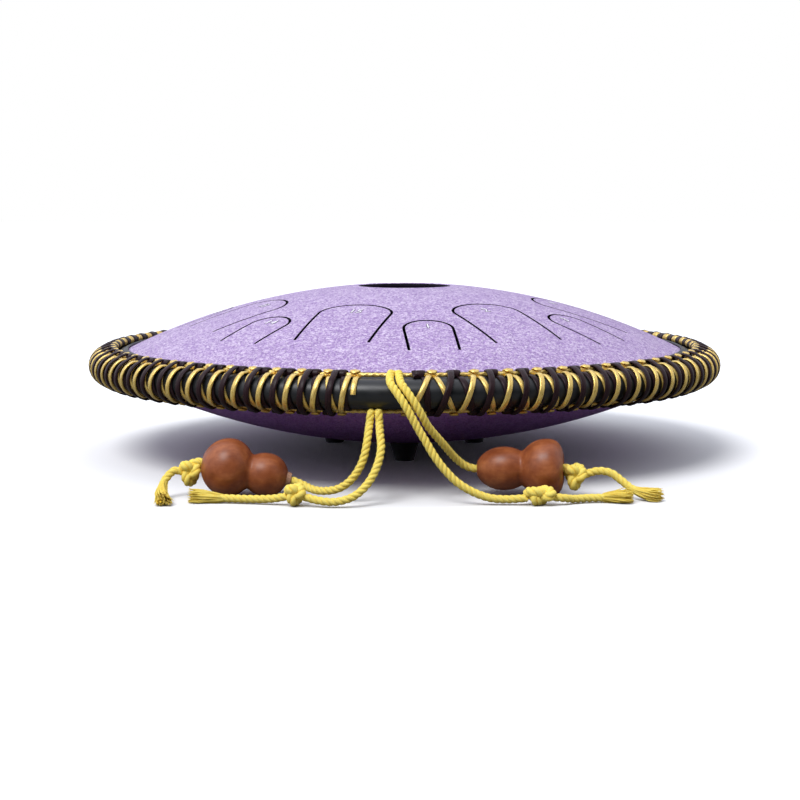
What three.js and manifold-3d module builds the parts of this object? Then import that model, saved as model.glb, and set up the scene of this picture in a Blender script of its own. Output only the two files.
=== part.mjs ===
// A steel tongue drum: two pressed domes bonded rim to rim, a rubber edging held on by two laces,
// three push-in feet, and two gourd beads on cotton ropes.
// Millimetres, +Z up. The drum stands on z = 0 about the Z axis and its front faces -Y.

import * as THREE from 'three';
import { mergeVertices } from 'three/addons/utils/BufferGeometryUtils.js';
import Module from 'manifold-3d';

const wasm = await Module();
wasm.setup();

// Shells
const DOME_R = 352;           // outer radius of each pressed dome
const DOME_RISE = 43.4;       // mating face of a flange to the dome's outer apex
const STEEL = 1.6;            // sheet thickness
const FLANGE_WIDTH = 5;       // flat flange outside the dome
const BOND = 0.8;             // adhesive between the flanges
const BOND_SETBACK = 0.6;     // adhesive edge inside the flange edge
const FLOOR_GAP = 6.2;        // floor to the bottom apex
const HOLE_R = 25;            // sound hole
const HOLE_ROLL = 2.2;        // rolled edge of the sound hole

// Tongues: fifteen at even spacing, long and short by turns
const TONGUES = 15;
const FIRST_TONGUE = 6.5;     // degrees from the front towards +X, a short tongue
const SLOT = 1.2;             // width of the cut
const LONG_TIP = 73;          // axis to the free end of a long tongue
const LONG_HALF = 19.8;       // half width of a long tongue
const LONG_CAP = 13;          // depth of its rounded end
const LONG_ROOT = 124;        // axis to the root of a middle long tongue
const SHORT_TIP = 97.5;
const SHORT_HALF = 12.7;
const SHORT_CAP = 10.5;
const SHORT_ROOT = 132;
const ROOT_STEP = 1.1;        // a tongue's root against that of its neighbour, which sets the pitch

// Rim edging and lacing
const BULB_R = 7.3;           // outside radius of the rubber bulb
const BULB_WALL = 3;          // rubber outside the flange edge
const LIP_SPAN = 15.6;        // flange edge to the edge of a lip
const LIP = 1.3;              // lip thickness
const LINE_R = 0.9;           // lacing line
const LINE_ANGLE = 118;       // degrees on the bulb from its outermost point
const LACE_WIDTH = 2.4;
const LACE_HEIGHT = 1.2;
const STITCHES = 74;          // of each lace
const STITCH_BAR = 3.4;       // along the line at each turn of a lace
const LACE_ANGLE = 100;       // where a lace turns, degrees on the bulb
const LACE_START = 0.2;       // degrees from the front to the first turn
const LACE_GAP = 25;          // along the rim between the last turn and the first
const LACE_EASE = 22.6;       // along the rim that the wide first stitches add
const EASE_STITCHES = 1.6;    // stitches over which they narrow

// Feet
const FEET = 3;
const FOOT_RING_R = 47;
const FOOT_TOP_R = 7.7;
const FOOT_BASE_R = 5.3;
const FOOT_EDGE = 0.6;        // bevel round the base
const STEM_R = 2.6;
const STEM_HEAD_R = 4.2;
const STEM_HEAD = 2.4;

// Ropes and gourds
const ROPE_R = 1.9;
const STRAND_GAP = 0.7;       // between the two strands of a hitch
const LEFT_HITCH = 0.573;     // place in the lacing gap, from its right end
const RIGHT_HITCH = 0.21;
const HITCH_ANGLE = 66;       // where the right hitch ends, degrees on the bulb
const GOURD_KNOT = [5, 5, 6];           // half a knot's length along X, depth and height
const LEFT_FREE_KNOT = [4.7, 4.7, 5];
const RIGHT_FREE_KNOT = [7.2, 4.2, 4.2];
const FRAY_R = 3.6;           // spread end of a tail
const SMALL_LOBE_R = 10.5;
const BIG_LOBE_R = 14.1;
const SMALL_INNER = 0.68;     // a small lobe's reach towards the waist, against the spacing of the lobes
const BIG_INNER = 0.665;      // the same of a big lobe
const WAIST_BLEND = 3;        // lobes whose radii differ by less than this run into each other
const GOURD_NECK_R = 3.6;     // flat round the bore at the small end
const BORE_CLEARANCE = 0.5;
// Each gourd: the middle of its small lobe, its heading, how far its rope lifts the small end off the
// floor, its lobes' spacing, its ends' lengths against round ones, and the flat at its big end.
const LEFT_GOURD = {
  place: [-66.5, -164], heading: 180, lift: 0, spacing: 18.5, point: 1, blunt: 0.95, flat: 3.6,
};
const RIGHT_GOURD = {
  place: [48, -163], heading: -8, lift: 3, spacing: 20.2, point: 1.3, blunt: 0.78, flat: 9,
};

// Fits
const SEAT = 0.3;             // gap between pieces that seat on each other

// Facets
const RING_STEPS = 48;
const ARC_STEPS = 5;
const BULB_STEPS = 8;
const ROPE_SIDES = 8;
const STEM_SIDES = 12;
const FOOT_SIDES = 16;
const GOURD_SIDES = 18;
const GOURD_END_STEPS = 4;
const WAIST_STEPS = 7;
const STRAND_STEPS = 22;
const FREE_STEPS = 15;
const HITCH_STEPS = 12;
const TAIL_STEPS = 6;

const RIM_Z = FLOOR_GAP + DOME_RISE + BOND / 2;
const DOME_DROP = DOME_R - DOME_RISE - BOND / 2;          // rim plane to a dome's centre
const FLANGE_FACE = BOND / 2 + STEEL;                     // rim plane to the outside of a flange
const BEND_R = Math.sqrt(DOME_R ** 2 - (DOME_DROP + FLANGE_FACE) ** 2);
const FLANGE_R = BEND_R + FLANGE_WIDTH;
const BULB_RING_R = FLANGE_R + SEAT + BULB_WALL - BULB_R;
const LIP_R = FLANGE_R - LIP_SPAN;

const rad = THREE.MathUtils.degToRad;

// Height above the rim plane of the surface that lies a given distance outside the dome.
function domeHeight(radius, outside) {
  return Math.sqrt((DOME_R + outside) ** 2 - radius ** 2) - DOME_DROP;
}

// A point at a radius and height above the rim plane, on the bearing that runs from the front towards +X.
function ringPoint(bearing, radius, height) {
  return new THREE.Vector3(radius * Math.sin(bearing), -radius * Math.cos(bearing), RIM_Z + height);
}

// A closed profile of [radius, z] pairs turned about the Z axis.
function turned(profile, steps) {
  const outline = profile.map(([radius, z]) => new THREE.Vector2(radius, z));
  if (THREE.ShapeUtils.isClockWise(outline)) {
    outline.reverse();
  }
  const geometry = new THREE.LatheGeometry([...outline, outline[0]], steps);
  geometry.rotateX(Math.PI / 2);
  return geometry;
}

function solid(geometry) {
  const bare = new THREE.BufferGeometry();
  bare.setAttribute('position', geometry.getAttribute('position'));
  bare.setIndex(geometry.getIndex());
  const joined = mergeVertices(bare, 1e-4);
  const vertProperties = new Float32Array(joined.getAttribute('position').array);
  const triVerts = new Uint32Array(joined.getIndex().array);
  return new wasm.Manifold(new wasm.Mesh({ numProp: 3, vertProperties, triVerts }));
}

function surface(body) {
  const mesh = body.getMesh();
  const geometry = new THREE.BufferGeometry();
  geometry.setAttribute('position', new THREE.BufferAttribute(mesh.vertProperties, 3));
  geometry.setIndex(new THREE.BufferAttribute(mesh.triVerts, 1));
  return geometry;
}

// A skin through rings of points, each seen turning anticlockwise from ahead, with both ends capped.
function loft(rings) {
  const sides = rings[0].length;
  const positions = rings.flat().flatMap((point) => [point.x, point.y, point.z]);
  const faces = [];
  for (let ring = 0; ring + 1 < rings.length; ring += 1) {
    for (let side = 0; side < sides; side += 1) {
      const a = ring * sides + side;
      const b = ring * sides + ((side + 1) % sides);
      faces.push(a, b, a + sides, b, b + sides, a + sides);
    }
  }
  const last = (rings.length - 1) * sides;
  for (let side = 1; side + 1 < sides; side += 1) {
    faces.push(0, side + 1, side, last, last + side, last + side + 1);
  }
  const geometry = new THREE.BufferGeometry();
  geometry.setAttribute('position', new THREE.Float32BufferAttribute(positions, 3));
  geometry.setIndex(faces);
  return geometry;
}

const group = new THREE.Group();
group.name = 'tongue_drum';

function add(name, geometry, color, roughness, metalness) {
  const material = new THREE.MeshStandardMaterial({ color, roughness, metalness });
  const mesh = new THREE.Mesh(geometry, material);
  mesh.name = name;
  group.add(mesh);
  return mesh;
}

const PAINT = [0xbba8d8, 0.5, 0.1];
const RUBBER = [0x1b1c1e, 0.6, 0];
const GOLD = [0xc79a4b, 0.5, 0];
const BROWN = [0x3a2230, 0.5, 0];
const COTTON = [0xecd97e, 0.9, 0];
const WOOD = [0x8c4a2c, 0.4, 0];
const GLUE = [0x6b6a66, 0.7, 0];

// Shells

// Points between a start and the bend at the flange, on the surface at a distance outside the dome.
function domeArc(start, outside, steps) {
  const arc = [];
  for (let step = 1; step < steps; step += 1) {
    const radius = start + ((BEND_R - start) * step) / steps;
    arc.push([radius, domeHeight(radius, outside)]);
  }
  return arc;
}

// The sheet runs out over the dome and flange and back along the inside.
function shellProfile(outerStart, innerStart, steps) {
  const start = outerStart[outerStart.length - 1][0];
  const inner = Math.sqrt((DOME_R - STEEL) ** 2 - (DOME_DROP + BOND / 2) ** 2);
  return [
    ...outerStart,
    ...domeArc(start, 0, steps),
    [BEND_R, FLANGE_FACE],
    [FLANGE_R, FLANGE_FACE],
    [FLANGE_R, BOND / 2],
    [inner, BOND / 2],
    ...domeArc(start, -STEEL, steps).reverse(),
    ...innerStart,
  ];
}

function rolledHole() {
  const top = domeHeight(HOLE_R + HOLE_ROLL, 0);
  const outer = [
    [HOLE_R, top - HOLE_ROLL],
    [HOLE_R + HOLE_ROLL * 0.3, top - HOLE_ROLL * 0.3],
    [HOLE_R + HOLE_ROLL, top],
  ];
  const inner = [
    [HOLE_R + HOLE_ROLL, domeHeight(HOLE_R + HOLE_ROLL, -STEEL)],
    [HOLE_R + STEEL, top - HOLE_ROLL - STEEL * 0.4],
    [HOLE_R, top - HOLE_ROLL - STEEL * 0.4],
  ];
  return [outer, inner];
}

// A U-shaped slot with its rounded end towards the axis, as a tall cutter on the +X axis.
function slotCutter(tip, half, cap, root) {
  const centre = tip + cap;
  const wide = half + SLOT / 2;
  const narrow = half - SLOT / 2;
  const shape = new THREE.Shape();
  shape.moveTo(root, wide);
  shape.lineTo(centre, wide);
  shape.absellipse(centre, 0, cap + SLOT / 2, wide, Math.PI / 2, Math.PI * 1.5, false, 0);
  shape.lineTo(root, -wide);
  shape.lineTo(root, -narrow);
  shape.lineTo(centre, -narrow);
  shape.absellipse(centre, 0, cap - SLOT / 2, narrow, Math.PI * 1.5, Math.PI / 2, true, 0);
  shape.lineTo(root, narrow);
  shape.closePath();
  const depth = DOME_RISE + STEEL;
  return new THREE.ExtrudeGeometry(shape, { depth, bevelEnabled: false, curveSegments: 4 });
}

// With an odd count two short tongues are neighbours at the back.
const BACK_PAIR = Math.floor(TONGUES / 2);

const [holeOuter, holeInner] = rolledHole();
let topShell = solid(turned(shellProfile(holeOuter, holeInner, ARC_STEPS - 1), RING_STEPS));
for (let tongue = 0; tongue < TONGUES; tongue += 1) {
  const bearing = rad(FIRST_TONGUE + (tongue * 360) / TONGUES);
  const fromFront = tongue > TONGUES / 2 ? tongue - TONGUES : tongue;
  const lengthen = fromFront * ROOT_STEP;
  const short = tongue % 2 === (tongue < BACK_PAIR ? 0 : 1);
  const cutter = short
    ? slotCutter(SHORT_TIP, SHORT_HALF, SHORT_CAP, SHORT_ROOT + lengthen)
    : slotCutter(LONG_TIP, LONG_HALF, LONG_CAP, LONG_ROOT + lengthen);
  cutter.rotateZ(bearing - Math.PI / 2);
  topShell = topShell.subtract(solid(cutter));
}
const topGeometry = surface(topShell);
topGeometry.translate(0, 0, RIM_Z);
add('top_shell', topGeometry, ...PAINT);

const bottomOuter = [[0, domeHeight(0, 0)]];
const bottomInner = [[0, domeHeight(0, -STEEL)]];
const bottomRise = shellProfile(bottomOuter, bottomInner, ARC_STEPS);
const bottomProfile = bottomRise.map(([radius, height]) => [radius, -height]);
const holeR = STEM_R + SEAT;
const footHole = turned([[0, 0], [holeR, 0], [holeR, -DOME_RISE * 2], [0, -DOME_RISE * 2]], STEM_SIDES);
let bottomShell = solid(turned(bottomProfile, RING_STEPS));
for (let foot = 0; foot < FEET; foot += 1) {
  const hole = footHole.clone().translate(0, -FOOT_RING_R, 0).rotateZ((foot * 2 * Math.PI) / FEET);
  bottomShell = bottomShell.subtract(solid(hole));
}
const bottomGeometry = surface(bottomShell);
bottomGeometry.translate(0, 0, RIM_Z);
add('bottom_shell', bottomGeometry, ...PAINT);

const bondInner = BEND_R + BOND_SETBACK;
const bondOuter = FLANGE_R - BOND_SETBACK;
const bondProfile = [
  [bondInner, RIM_Z - BOND / 2],
  [bondInner, RIM_Z + BOND / 2],
  [bondOuter, RIM_Z + BOND / 2],
  [bondOuter, RIM_Z - BOND / 2],
];
add('flange_bond', turned(bondProfile, RING_STEPS), ...GLUE);

// Rim edging: half a profile above the rim plane, mirrored below it.

// The angle on the bulb where it meets the upper face of a lip.
function lipAngle() {
  const reach = DOME_R + SEAT + LIP;
  const apart = Math.hypot(BULB_RING_R, DOME_DROP);
  const bearing = Math.atan2(-DOME_DROP, -BULB_RING_R) + 2 * Math.PI;
  return bearing - Math.acos((apart ** 2 + BULB_R ** 2 - reach ** 2) / (2 * apart * BULB_R));
}

const seatBend = Math.sqrt((DOME_R + SEAT) ** 2 - (DOME_DROP + FLANGE_FACE + SEAT) ** 2);
const upperHalf = [
  [FLANGE_R + SEAT, FLANGE_FACE + SEAT],
  [seatBend, FLANGE_FACE + SEAT],
  [LIP_R, domeHeight(LIP_R, SEAT)],
  [LIP_R, domeHeight(LIP_R, SEAT + LIP)],
];
for (let step = 0; step < BULB_STEPS / 2; step += 1) {
  const angle = lipAngle() * (1 - step / (BULB_STEPS / 2));
  upperHalf.push([BULB_RING_R + BULB_R * Math.cos(angle), BULB_R * Math.sin(angle)]);
}
const outermost = [BULB_RING_R + BULB_R, 0];
const lowerHalf = [...upperHalf].reverse().map(([radius, height]) => [radius, -height]);
const edging = turned([...upperHalf, outermost, ...lowerHalf], RING_STEPS);
edging.translate(0, 0, RIM_Z);
add('rim_edging', edging, ...RUBBER);

// Lacing lines

function lacingLine(side) {
  const angle = rad(LINE_ANGLE);
  const reach = BULB_R + SEAT + LINE_R;
  const radius = BULB_RING_R + reach * Math.cos(angle);
  const height = RIM_Z + side * reach * Math.sin(angle);
  const profile = [];
  for (let corner = 0; corner < 5; corner += 1) {
    const turn = (-corner * 2 * Math.PI) / 5;
    profile.push([radius + LINE_R * Math.cos(turn), height + LINE_R * Math.sin(turn)]);
  }
  return turned(profile, RING_STEPS);
}

add('upper_lacing_line', lacingLine(1), ...GOLD);
add('lower_lacing_line', lacingLine(-1), ...GOLD);

// Laces: each turns at a bar below and above. Rising legs lie over falling legs of the other lace.

const LACED = 2 * Math.PI * BULB_RING_R - LACE_GAP - LACE_EASE;
const PITCH = LACED / (STITCHES + 0.5);
const LACE_TURN = rad(LACE_ANGLE);
const LACE_FLAT = Math.cos(LACE_TURN / 3);                // a straight step dips this much towards the bulb
const UNDER_R = (BULB_R + SEAT) / LACE_FLAT;
const OVER_R = UNDER_R + LACE_HEIGHT + (SEAT * 1.6) / LACE_FLAT;

// How far along the rim a stitch is. The first ones are wider.
function laceAlong(stitch) {
  return stitch * PITCH + LACE_EASE * (1 - Math.exp(-stitch / EASE_STITCHES));
}

// The route of one lace through the stitches at which it turns, as
// [distance along the rim, angle on the bulb, distance from the bulb's middle].
function laceRoute(turns, firstRises) {
  const route = [];
  for (let leg = 0; leg + 1 < turns.length; leg += 1) {
    const rises = (leg % 2 === 0) === firstRises;
    const start = laceAlong(turns[leg]) + STITCH_BAR / 2;
    const end = laceAlong(turns[leg + 1]) - STITCH_BAR / 2;
    for (let step = 0; step <= 3; step += 1) {
      const angle = LACE_TURN * ((2 * step) / 3 - 1);
      const along = start + ((end - start) * step) / 3;
      route.push(rises ? [along, angle, OVER_R] : [along, -angle, UNDER_R]);
    }
  }
  return route;
}

// Three-sided sections, flat against the bulb, mitred where the lace turns.
function laceRings(route) {
  const flat = route.map(([along, angle]) => new THREE.Vector2(along, angle * BULB_R));
  return route.map(([along, angle, reach], index) => {
    const before = flat[Math.max(index - 1, 0)];
    const after = flat[Math.min(index + 1, flat.length - 1)];
    const here = flat[index];
    const into = here.clone().sub(before).normalize();
    const out = after.clone().sub(here).normalize();
    const heading = into.add(out).normalize();
    const mitre = out.lengthSq() > 0 ? Math.max(heading.dot(out), 0.6) : 1;
    const bearing = rad(LACE_START) + along / BULB_RING_R;
    const outwards = new THREE.Vector3(Math.sin(bearing), -Math.cos(bearing), 0);
    const forwards = new THREE.Vector3(Math.cos(bearing), Math.sin(bearing), 0);
    const upwards = new THREE.Vector3(0, 0, 1);
    const normal = outwards.clone().multiplyScalar(Math.cos(angle));
    normal.addScaledVector(upwards, Math.sin(angle));
    const round = outwards.clone().multiplyScalar(-Math.sin(angle));
    round.addScaledVector(upwards, Math.cos(angle));
    const across = forwards.clone().multiplyScalar(-heading.y).addScaledVector(round, heading.x);
    const base = ringPoint(bearing, BULB_RING_R, 0).addScaledVector(normal, reach);
    const half = LACE_WIDTH / 2 / mitre;
    return [
      base.clone().addScaledVector(across, -half),
      base.clone().addScaledVector(across, half),
      base.clone().addScaledVector(normal, LACE_HEIGHT),
    ];
  });
}

// The least distance between sections of one lace that aren't neighbours along it.
function leastGap(rings) {
  let least = Infinity;
  for (let first = 0; first < rings.length; first += 1) {
    for (let second = first + 3; second < Math.min(first + 24, rings.length); second += 1) {
      for (const a of rings[first]) {
        for (const b of rings[second]) {
          least = Math.min(least, a.distanceTo(b));
        }
      }
    }
  }
  return least;
}

function addLace(name, turns, firstRises, colour) {
  const rings = laceRings(laceRoute(turns, firstRises));
  console.log(`${name}: least gap to itself ${leastGap(rings).toFixed(2)} mm`);
  add(name, loft(rings), ...colour);
}

const goldTurns = Array.from({ length: 2 * STITCHES + 2 }, (_, half) => half / 2);
const brownTurns = [0.25, ...goldTurns.slice(1)];
addLace('gold_lace', goldTurns, true, GOLD);
addLace('brown_lace', brownTurns, false, BROWN);

// Feet: a tapered block whose top follows the dome, and a stem with a head inside the shell.

function footSolid() {
  const seatTop = domeHeight(FOOT_RING_R - FOOT_TOP_R, 0);
  const floor = -RIM_Z;
  const high = -domeHeight(FOOT_RING_R + FOOT_TOP_R, 0) + 1;
  const block = turned([
    [0, floor],
    [FOOT_BASE_R - FOOT_EDGE, floor],
    [FOOT_BASE_R, floor + FOOT_EDGE],
    [FOOT_TOP_R, -seatTop],
    [FOOT_TOP_R, high],
    [0, high],
  ], FOOT_SIDES);
  block.translate(0, -FOOT_RING_R, 0);
  const dish = [[0, domeHeight(0, SEAT)], ...domeArc(0, SEAT, ARC_STEPS)];
  dish.push([BEND_R, FLANGE_FACE + SEAT], [BEND_R, 0]);
  const dishProfile = dish.map(([radius, height]) => [radius, -height]);
  const dome = solid(turned([[0, 0], ...dishProfile], RING_STEPS));
  const facetDip = (BEND_R / ARC_STEPS) ** 2 / (8 * DOME_R);
  const headFloor = -domeHeight(FOOT_RING_R + STEM_HEAD_R, -STEEL) + facetDip + SEAT;
  const root = -domeHeight(FOOT_RING_R, 0) - STEM_R;
  const stem = turned([
    [0, root], [STEM_R, root], [STEM_R, headFloor], [STEM_HEAD_R, headFloor],
    [STEM_R * 0.7, headFloor + STEM_HEAD], [0, headFloor + STEM_HEAD],
  ], STEM_SIDES);
  stem.translate(0, -FOOT_RING_R, 0);
  return solid(block).subtract(dome).add(solid(stem));
}

const footGeometry = surface(footSolid());
footGeometry.translate(0, 0, RIM_Z);
['front_foot', 'right_foot', 'left_foot'].forEach((name, foot) => {
  add(name, footGeometry.clone().rotateZ((foot * 2 * Math.PI) / FEET), ...RUBBER);
});

// Gourd beads: two lobes with a rounded waist, bored along the axis. The axis is local Z, small end first.

const BORE_R = ROPE_R + BORE_CLEARANCE;

// A gourd's radius at a distance along its axis. Each lobe is an ellipse with two unlike ends.
function gourdRadius(z, { spacing, point, blunt }) {
  const lobe = (along, radius, reach) => radius * Math.sqrt(Math.max(1 - (along / reach) ** 2, 0));
  const small = lobe(z, SMALL_LOBE_R, z < 0 ? SMALL_LOBE_R * point : spacing * SMALL_INNER);
  const past = z - spacing;
  const big = lobe(past, BIG_LOBE_R, past > 0 ? BIG_LOBE_R * blunt : spacing * BIG_INNER);
  const blend = Math.max(WAIST_BLEND - Math.abs(small - big), 0);
  return Math.max(small, big) + blend ** 2 / (4 * WAIST_BLEND);
}

// A gourd's outline steps evenly round its ends and evenly along between the lobes' middles.
function gourd(form) {
  const { spacing, point, blunt, flat } = form;
  const places = [];
  const neckTurn = Math.asin(GOURD_NECK_R / SMALL_LOBE_R);
  for (let step = 0; step < GOURD_END_STEPS; step += 1) {
    const turn = neckTurn + ((Math.PI / 2 - neckTurn) * step) / GOURD_END_STEPS;
    places.push(-SMALL_LOBE_R * point * Math.cos(turn));
  }
  for (let step = 0; step <= WAIST_STEPS; step += 1) {
    places.push((spacing * step) / WAIST_STEPS);
  }
  const footTurn = Math.asin(flat / BIG_LOBE_R);
  for (let step = 1; step <= GOURD_END_STEPS; step += 1) {
    const turn = Math.PI / 2 - ((Math.PI / 2 - footTurn) * step) / GOURD_END_STEPS;
    places.push(spacing + BIG_LOBE_R * blunt * Math.cos(turn));
  }
  const outline = places.map((z) => [gourdRadius(z, form), z]);
  const smallEnd = places[0];
  const bigEnd = places[places.length - 1];
  const geometry = turned([...outline, [BORE_R, bigEnd], [BORE_R, smallEnd]], GOURD_SIDES);
  return { geometry, smallEnd, bigEnd };
}

// The big lobe rests on the floor and the small one is lifted off it, so the axis has a slope.
function layGourd(name, form) {
  const { place, lift, spacing } = form;
  const heading = rad(form.heading);
  const tilt = Math.asin((BIG_LOBE_R - SMALL_LOBE_R - lift) / spacing);
  const along = new THREE.Vector3(
    Math.cos(heading) * Math.cos(tilt),
    Math.sin(heading) * Math.cos(tilt),
    Math.sin(tilt),
  );
  const turn = new THREE.Quaternion().setFromUnitVectors(new THREE.Vector3(0, 0, 1), along);
  const middle = new THREE.Vector3(...place, SMALL_LOBE_R + lift);
  const { geometry, smallEnd, bigEnd } = gourd(form);
  geometry.applyQuaternion(turn);
  geometry.translate(middle.x, middle.y, middle.z);
  add(name, geometry, ...WOOD);
  const axis = (distance) => middle.clone().addScaledVector(along, distance);
  return { axis, smallEnd, bigEnd, spacing };
}

const leftBead = layGourd('left_gourd', LEFT_GOURD);
const rightBead = layGourd('right_gourd', RIGHT_GOURD);

// Ropes

const smooth = (points) => new THREE.CatmullRomCurve3(points, false, 'centripetal');

function tube(points, steps) {
  const section = new THREE.Shape();
  for (let side = 0; side < ROPE_SIDES; side += 1) {
    const angle = (side * 2 * Math.PI) / ROPE_SIDES;
    section.lineTo(ROPE_R * Math.cos(angle), ROPE_R * Math.sin(angle));
  }
  return new THREE.ExtrudeGeometry(section, { steps, extrudePath: smooth(points), bevelEnabled: false });
}

// A tail keeps the rope's thickness and spreads over its last third.
function tail(points, steps) {
  const curve = smooth(points);
  const frames = curve.computeFrenetFrames(steps, false);
  const rings = [];
  for (let step = 0; step <= steps; step += 1) {
    const middle = curve.getPointAt(step / steps);
    const spread = Math.max((step / steps) * 3 - 2, 0);
    const radius = ROPE_R + (FRAY_R - ROPE_R) * spread;
    const ring = [];
    for (let side = 0; side < ROPE_SIDES; side += 1) {
      const angle = (side * 2 * Math.PI) / ROPE_SIDES;
      const point = middle.clone();
      point.addScaledVector(frames.normals[step], radius * Math.cos(angle));
      point.addScaledVector(frames.binormals[step], radius * Math.sin(angle));
      point.z = Math.max(point.z, SEAT);
      ring.push(point);
    }
    rings.push(ring);
  }
  return loft(rings);
}

function knot(place, size) {
  const geometry = new THREE.SphereGeometry(1, 10, 7);
  geometry.rotateX(Math.PI / 2);
  geometry.scale(...size);
  geometry.translate(place.x, place.y, place.z);
  return geometry;
}

// A point a seat's gap outside a knot, in a direction from its middle.
function besideKnot(middle, size, heading) {
  const surfaceAt = heading.length() / heading.clone().divide(new THREE.Vector3(...size)).length();
  return heading.clone().setLength(surfaceAt + SEAT).add(middle);
}

const LINE_REACH = BULB_R + SEAT + LINE_R;
const LINE_RADIUS = BULB_RING_R + LINE_REACH * Math.cos(rad(LINE_ANGLE));
const LINE_HEIGHT = LINE_REACH * Math.sin(rad(LINE_ANGLE));
const ROPE_CLEAR = LINE_R + SEAT + ROPE_R;                // from a line to the middle of a rope across it
const STRAND_SPREAD = ROPE_R + STRAND_GAP / 2;
const BULB_REACH = BULB_R + SEAT + ROPE_R;

// A hitch: the folded rope lies over its line, with the fold behind it. Side 1 is the upper line.
// Its strands leave a seat's gap beyond its two ends, in the direction of the ends.
function hitch(bearing, side, front) {
  const half = STRAND_SPREAD / LINE_RADIUS;
  const over = LINE_HEIGHT + ROPE_CLEAR;
  const back = LINE_RADIUS - ROPE_CLEAR - ROPE_R;
  const strand = [
    ...front,
    [LINE_RADIUS + ROPE_CLEAR * 0.3, over],
    [LINE_RADIUS - ROPE_CLEAR * 0.7, over],
  ];
  const near = strand.map(([radius, height]) => ringPoint(bearing - half, radius, side * height));
  const far = strand.map(([radius, height]) => ringPoint(bearing + half, radius, side * height)).reverse();
  const fold = ringPoint(bearing, back, side * (over - SEAT));
  const route = [...near, fold, ...far];
  const curve = smooth(route);
  const leave = (end, heading) => {
    return [SEAT, SEAT + ROPE_R].map((on) => end.clone().addScaledVector(heading, on));
  };
  return {
    geometry: tube(route, HITCH_STEPS),
    near: leave(near[0], curve.getTangent(0).negate()),
    far: leave(far[far.length - 1], curve.getTangent(1)),
  };
}

const upperAngle = rad(HITCH_ANGLE);
const upperFront = [
  [BULB_RING_R + BULB_REACH * Math.cos(upperAngle), BULB_REACH * Math.sin(upperAngle)],
];
const lowerFront = [
  [BULB_RING_R + BULB_R * 0.8, BULB_REACH + ROPE_CLEAR],
  [BULB_RING_R + BULB_R * 0.4, BULB_REACH + ROPE_R * 0.5],
];
const hitchBearing = (place) => rad(LACE_START) - (place * LACE_GAP) / BULB_RING_R;
const leftHitch = hitch(hitchBearing(LEFT_HITCH), -1, lowerFront);
const rightHitch = hitch(hitchBearing(RIGHT_HITCH), 1, upperFront);
add('left_rope_hitch', leftHitch.geometry, ...COTTON);
add('right_rope_hitch', rightHitch.geometry, ...COTTON);

const points = (list) => list.map(([x, y, z]) => new THREE.Vector3(x, y, z));

const LEFT_GOURD_ROUTE = points([
  [-17, -176.6, 33.8], [-17.9, -180.5, 27.3], [-20, -182.2, 19.2], [-25, -182.4, 11.2],
  [-31, -180.4, 6.6], [-38, -177, 4.8], [-44, -172, 4.8], [-50, -166.2, 6.6],
]);
const LEFT_FREE_ROUTE = points([
  [-11.6, -178.3, 33], [-11, -184, 26], [-13, -188.5, 18], [-17, -192, 11],
  [-23, -195, 5.6], [-31, -196, 3], [-38, -195.2, 3],
]);
const RIGHT_GOURD_ROUTE = points([
  [-1.5, -178.2, 56.1], [1.2, -181.3, 52.8], [4.9, -183, 47.4], [7.9, -182.6, 42.2],
  [10.8, -179.8, 36.6], [14.8, -176, 31.2], [18.8, -172, 26.2], [22, -167.6, 21.8],
  [25.4, -163.6, 17.8], [29.8, -161.4, 14.3],
]);
const RIGHT_FREE_ROUTE = points([
  [-6.5, -178.2, 56.1], [-3.9, -181.8, 52.8], [-0.2, -184.4, 47.4], [3.1, -185, 41.6],
  [6.4, -185, 35.6], [10, -185.4, 29.6], [14, -186.4, 22.9], [18.8, -187, 16.6],
  [24.6, -187.8, 10.8], [32, -188.3, 6.3], [40, -188.4, 3.4], [48, -188.4, 2.8],
]);

// A rope's strand through a gourd ends at its knot, which hangs against the big end.
function gourdStrand(name, start, route, bead, out) {
  const { axis, smallEnd, bigEnd, spacing } = bead;
  const line = [...start, ...route, axis(smallEnd - 1), axis(smallEnd + 3)];
  const bore = [axis(0), axis(spacing), axis(bigEnd + out)];
  add(name, tube([...line, ...bore], STRAND_STEPS), ...COTTON);
}

function tiedEnd(side, kind, middle, size, route) {
  add(`${side}_${kind}_knot`, knot(middle, size), ...COTTON);
  const start = besideKnot(middle, size, route[0].clone().sub(middle));
  add(`${side}_${kind}_tail`, tail([start, ...route], TAIL_STEPS), ...COTTON);
}

function knotPlace(bead, out, drop) {
  const place = bead.axis(bead.bigEnd + out);
  place.z -= drop;
  return place;
}

gourdStrand('left_gourd_strand', leftHitch.near, LEFT_GOURD_ROUTE, leftBead, 1);
tiedEnd('left', 'gourd', knotPlace(leftBead, 6, 6.5), GOURD_KNOT, points([
  [-110.5, -165.5, 12.8], [-114.5, -168.5, 9.2], [-116, -174, 5], [-115.8, -181, 3.6],
  [-115.2, -188, 3.4],
]));

gourdStrand('right_gourd_strand', rightHitch.far, RIGHT_GOURD_ROUTE, rightBead, SEAT);
tiedEnd('right', 'gourd', knotPlace(rightBead, 5.5, 4.5), GOURD_KNOT, points([
  [93, -166.5, 12.8], [99, -167.5, 12], [104, -169.5, 8.6], [109, -172.5, 5],
  [116, -177, 3.6], [121, -180, 3.6],
]));

// The other strand of each rope ends at the side of a knot of its own, which lies on the floor.
function freeEnd(side, start, route, place, size, from, tailRoute) {
  const middle = new THREE.Vector3(...place, size[2] + SEAT);
  const end = besideKnot(middle, size, new THREE.Vector3(...from));
  add(`${side}_free_strand`, tube([...start, ...route, end], FREE_STEPS), ...COTTON);
  tiedEnd(side, 'free', middle, size, tailRoute);
}

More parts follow.
